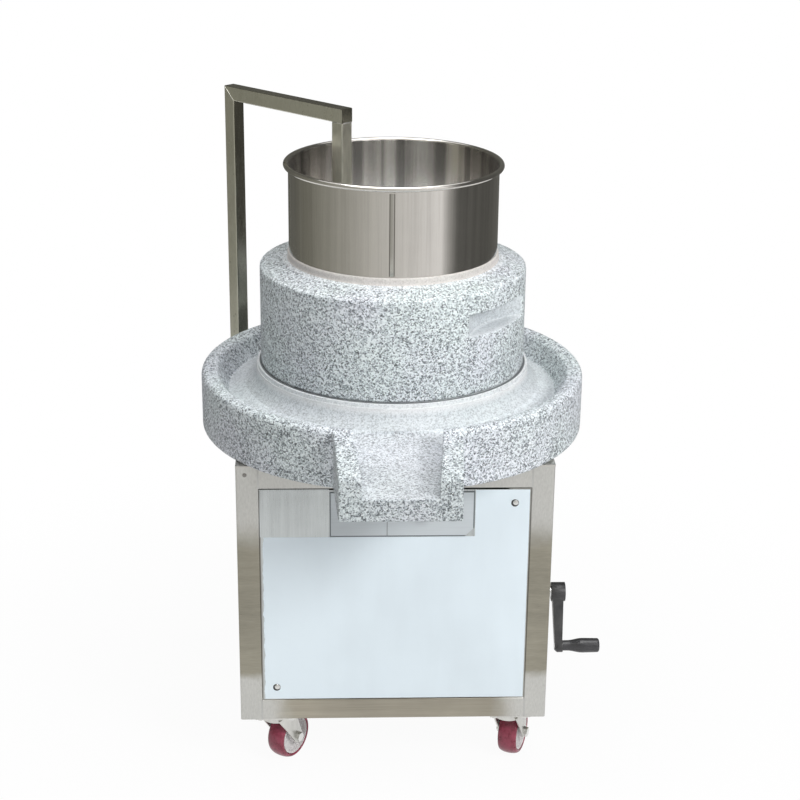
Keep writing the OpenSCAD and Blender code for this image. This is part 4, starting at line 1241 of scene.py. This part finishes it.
@dataclass
class Studio:
    """Camera, floor, world and lamps."""

    focal_px: float = 1819.3
    image_px: float = 800.0
    sensor: float = 36.0
    place: Point = (-0.0928, -2.6273, 1.5383)
    yaw: float = 2.3
    pitch: float = 20.7
    roll: float = -0.6
    aim: Point = (0.0, 0.0, 0.55)
    glow: float = 0.14
    lamps: tuple[tuple[str, Point, float, float], ...] = (
        ("key", (1.8, -2.0, 2.2), 1.1, 58.0), ("top", (-0.12, -0.4, 3.0), 2.2, 51.0),
        ("fill", (-0.55, -3.2, 0.85), 1.4, 8.0))
    cloth: tuple[Point, ...] = (
        (-180, 0.14, 0.88), (-135, 0.14, 0.86), (-104, 0.21, 0.84), (-75, 0.33, 0.88), (-48, 0.46, 0.91),
        (-22, 0.62, 0.94), (8, 0.75, 0.97), (48, 0.98, 0.99), (58, 0.40, 0.96), (68, 0.13, 0.94),
        (118, 0.11, 0.92), (150, 0.14, 0.9), (180, 0.14, 0.88))

    def build(self) -> None:
        """Sets up the whole studio."""
        bpy.context.scene.view_settings.view_transform = "Standard"
        self.camera()
        self.world()
        self.floor()
        for name, place, size, power in self.lamps:
            self.lamp(name, place, size, power)
        self.tent()

    def camera(self) -> None:
        """Puts the camera where the photograph was taken."""
        data = bpy.data.cameras.new("camera")
        data.sensor_width = self.sensor
        data.lens = self.focal_px / self.image_px * self.sensor
        camera = bpy.data.objects.new("camera", data)
        pose = Matrix.Translation(self.place)
        for axis, angle in (("Z", -self.yaw), ("X", 90.0 - self.pitch), ("Z", -self.roll)):
            pose = pose @ Matrix.Rotation(math.radians(angle), 4, axis)
        camera.matrix_world = pose
        bpy.context.scene.collection.objects.link(camera)
        bpy.context.scene.camera = camera

    def world(self) -> None:
        """Makes a white surround that lights softly."""
        g = Graph("surround", world=True)
        strength = g.node("ShaderNodeMapRange", {}, {"Value": g.seen(), "To Min": self.glow})
        back = g.node("ShaderNodeBackground", {}, {"Color": (1.0, 1.0, 1.0), "Strength": strength})
        bpy.context.scene.world = g.close(back)

    def floor(self) -> None:
        """Lays a pale floor that keeps a light shadow."""
        obj = started("floor", bpy.ops.mesh.primitive_plane_add, size=14.0, location=(0, 0, -0.2 * MM))
        g = Graph("floor_white")
        lit = g.node("ShaderNodeBsdfDiffuse", {}, {"Color": (0.86, 0.86, 0.86)})
        white = g.node("ShaderNodeEmission", {}, {"Color": (1.0, 1.0, 1.0)})
        share = g.seen() * (0.95 + g.radius().rise(0.3, 1.2) * 0.05)
        obj.data.materials.append(g.close(g.node("ShaderNodeMixShader", {}, {0: share, 1: lit, 2: white})))

    def lamp(self, name: str, place: Point, size: float, power: float) -> None:
        """Hangs a square soft lamp that points at the mill.

        Args:
            name: the lamp's name.
            place: where it hangs.
            size: length of its sides.
            power: its power in watts.
        """
        data = bpy.data.lights.new(name, "AREA")
        data.size = size
        data.energy = power
        lamp = bpy.data.objects.new(name, data)
        lamp.location = place
        lamp.rotation_euler = (Vector(self.aim) - Vector(place)).to_track_quat("-Z", "Y").to_euler()
        bpy.context.scene.collection.objects.link(lamp)

    def tent(self) -> None:
        """Stands a round cloth about the mill that only its metal sees, bright in front and dark behind."""
        obj = cylinder("tent", 96, 1.6, 2.6, (0, 0, 1.31), end_fill_type="NOTHING")
        g = Graph("tent_cloth")
        stops = [(at / 360 + 0.5, (v, v * 0.985, v * warm)) for at, v, warm in self.cloth]
        cloth = g.ramp(g.turn() / (2 * math.pi) + 0.5, stops)
        shaded = g.toned(cloth, 0.72 + g.bands(9.0, 3.0) * 0.56)
        obj.data.materials.append(g.close(g.node("ShaderNodeEmission", {}, {"Color": shaded})))
        for seen in ("visible_camera", "visible_diffuse", "visible_shadow", "visible_transmission"):
            setattr(obj, seen, False)


def main() -> None:
    """Builds every sub-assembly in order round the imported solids."""
    logging.basicConfig(level=logging.INFO, format="%(name)s: %(message)s")
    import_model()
    for assembly in (Stones(), Hopper(), Cabinet(), Controls(), StirrerArm(), Crank(), Castors(), Drive()):
        assembly.build()
    Studio().build()


if __name__ == "__main__":
    main()
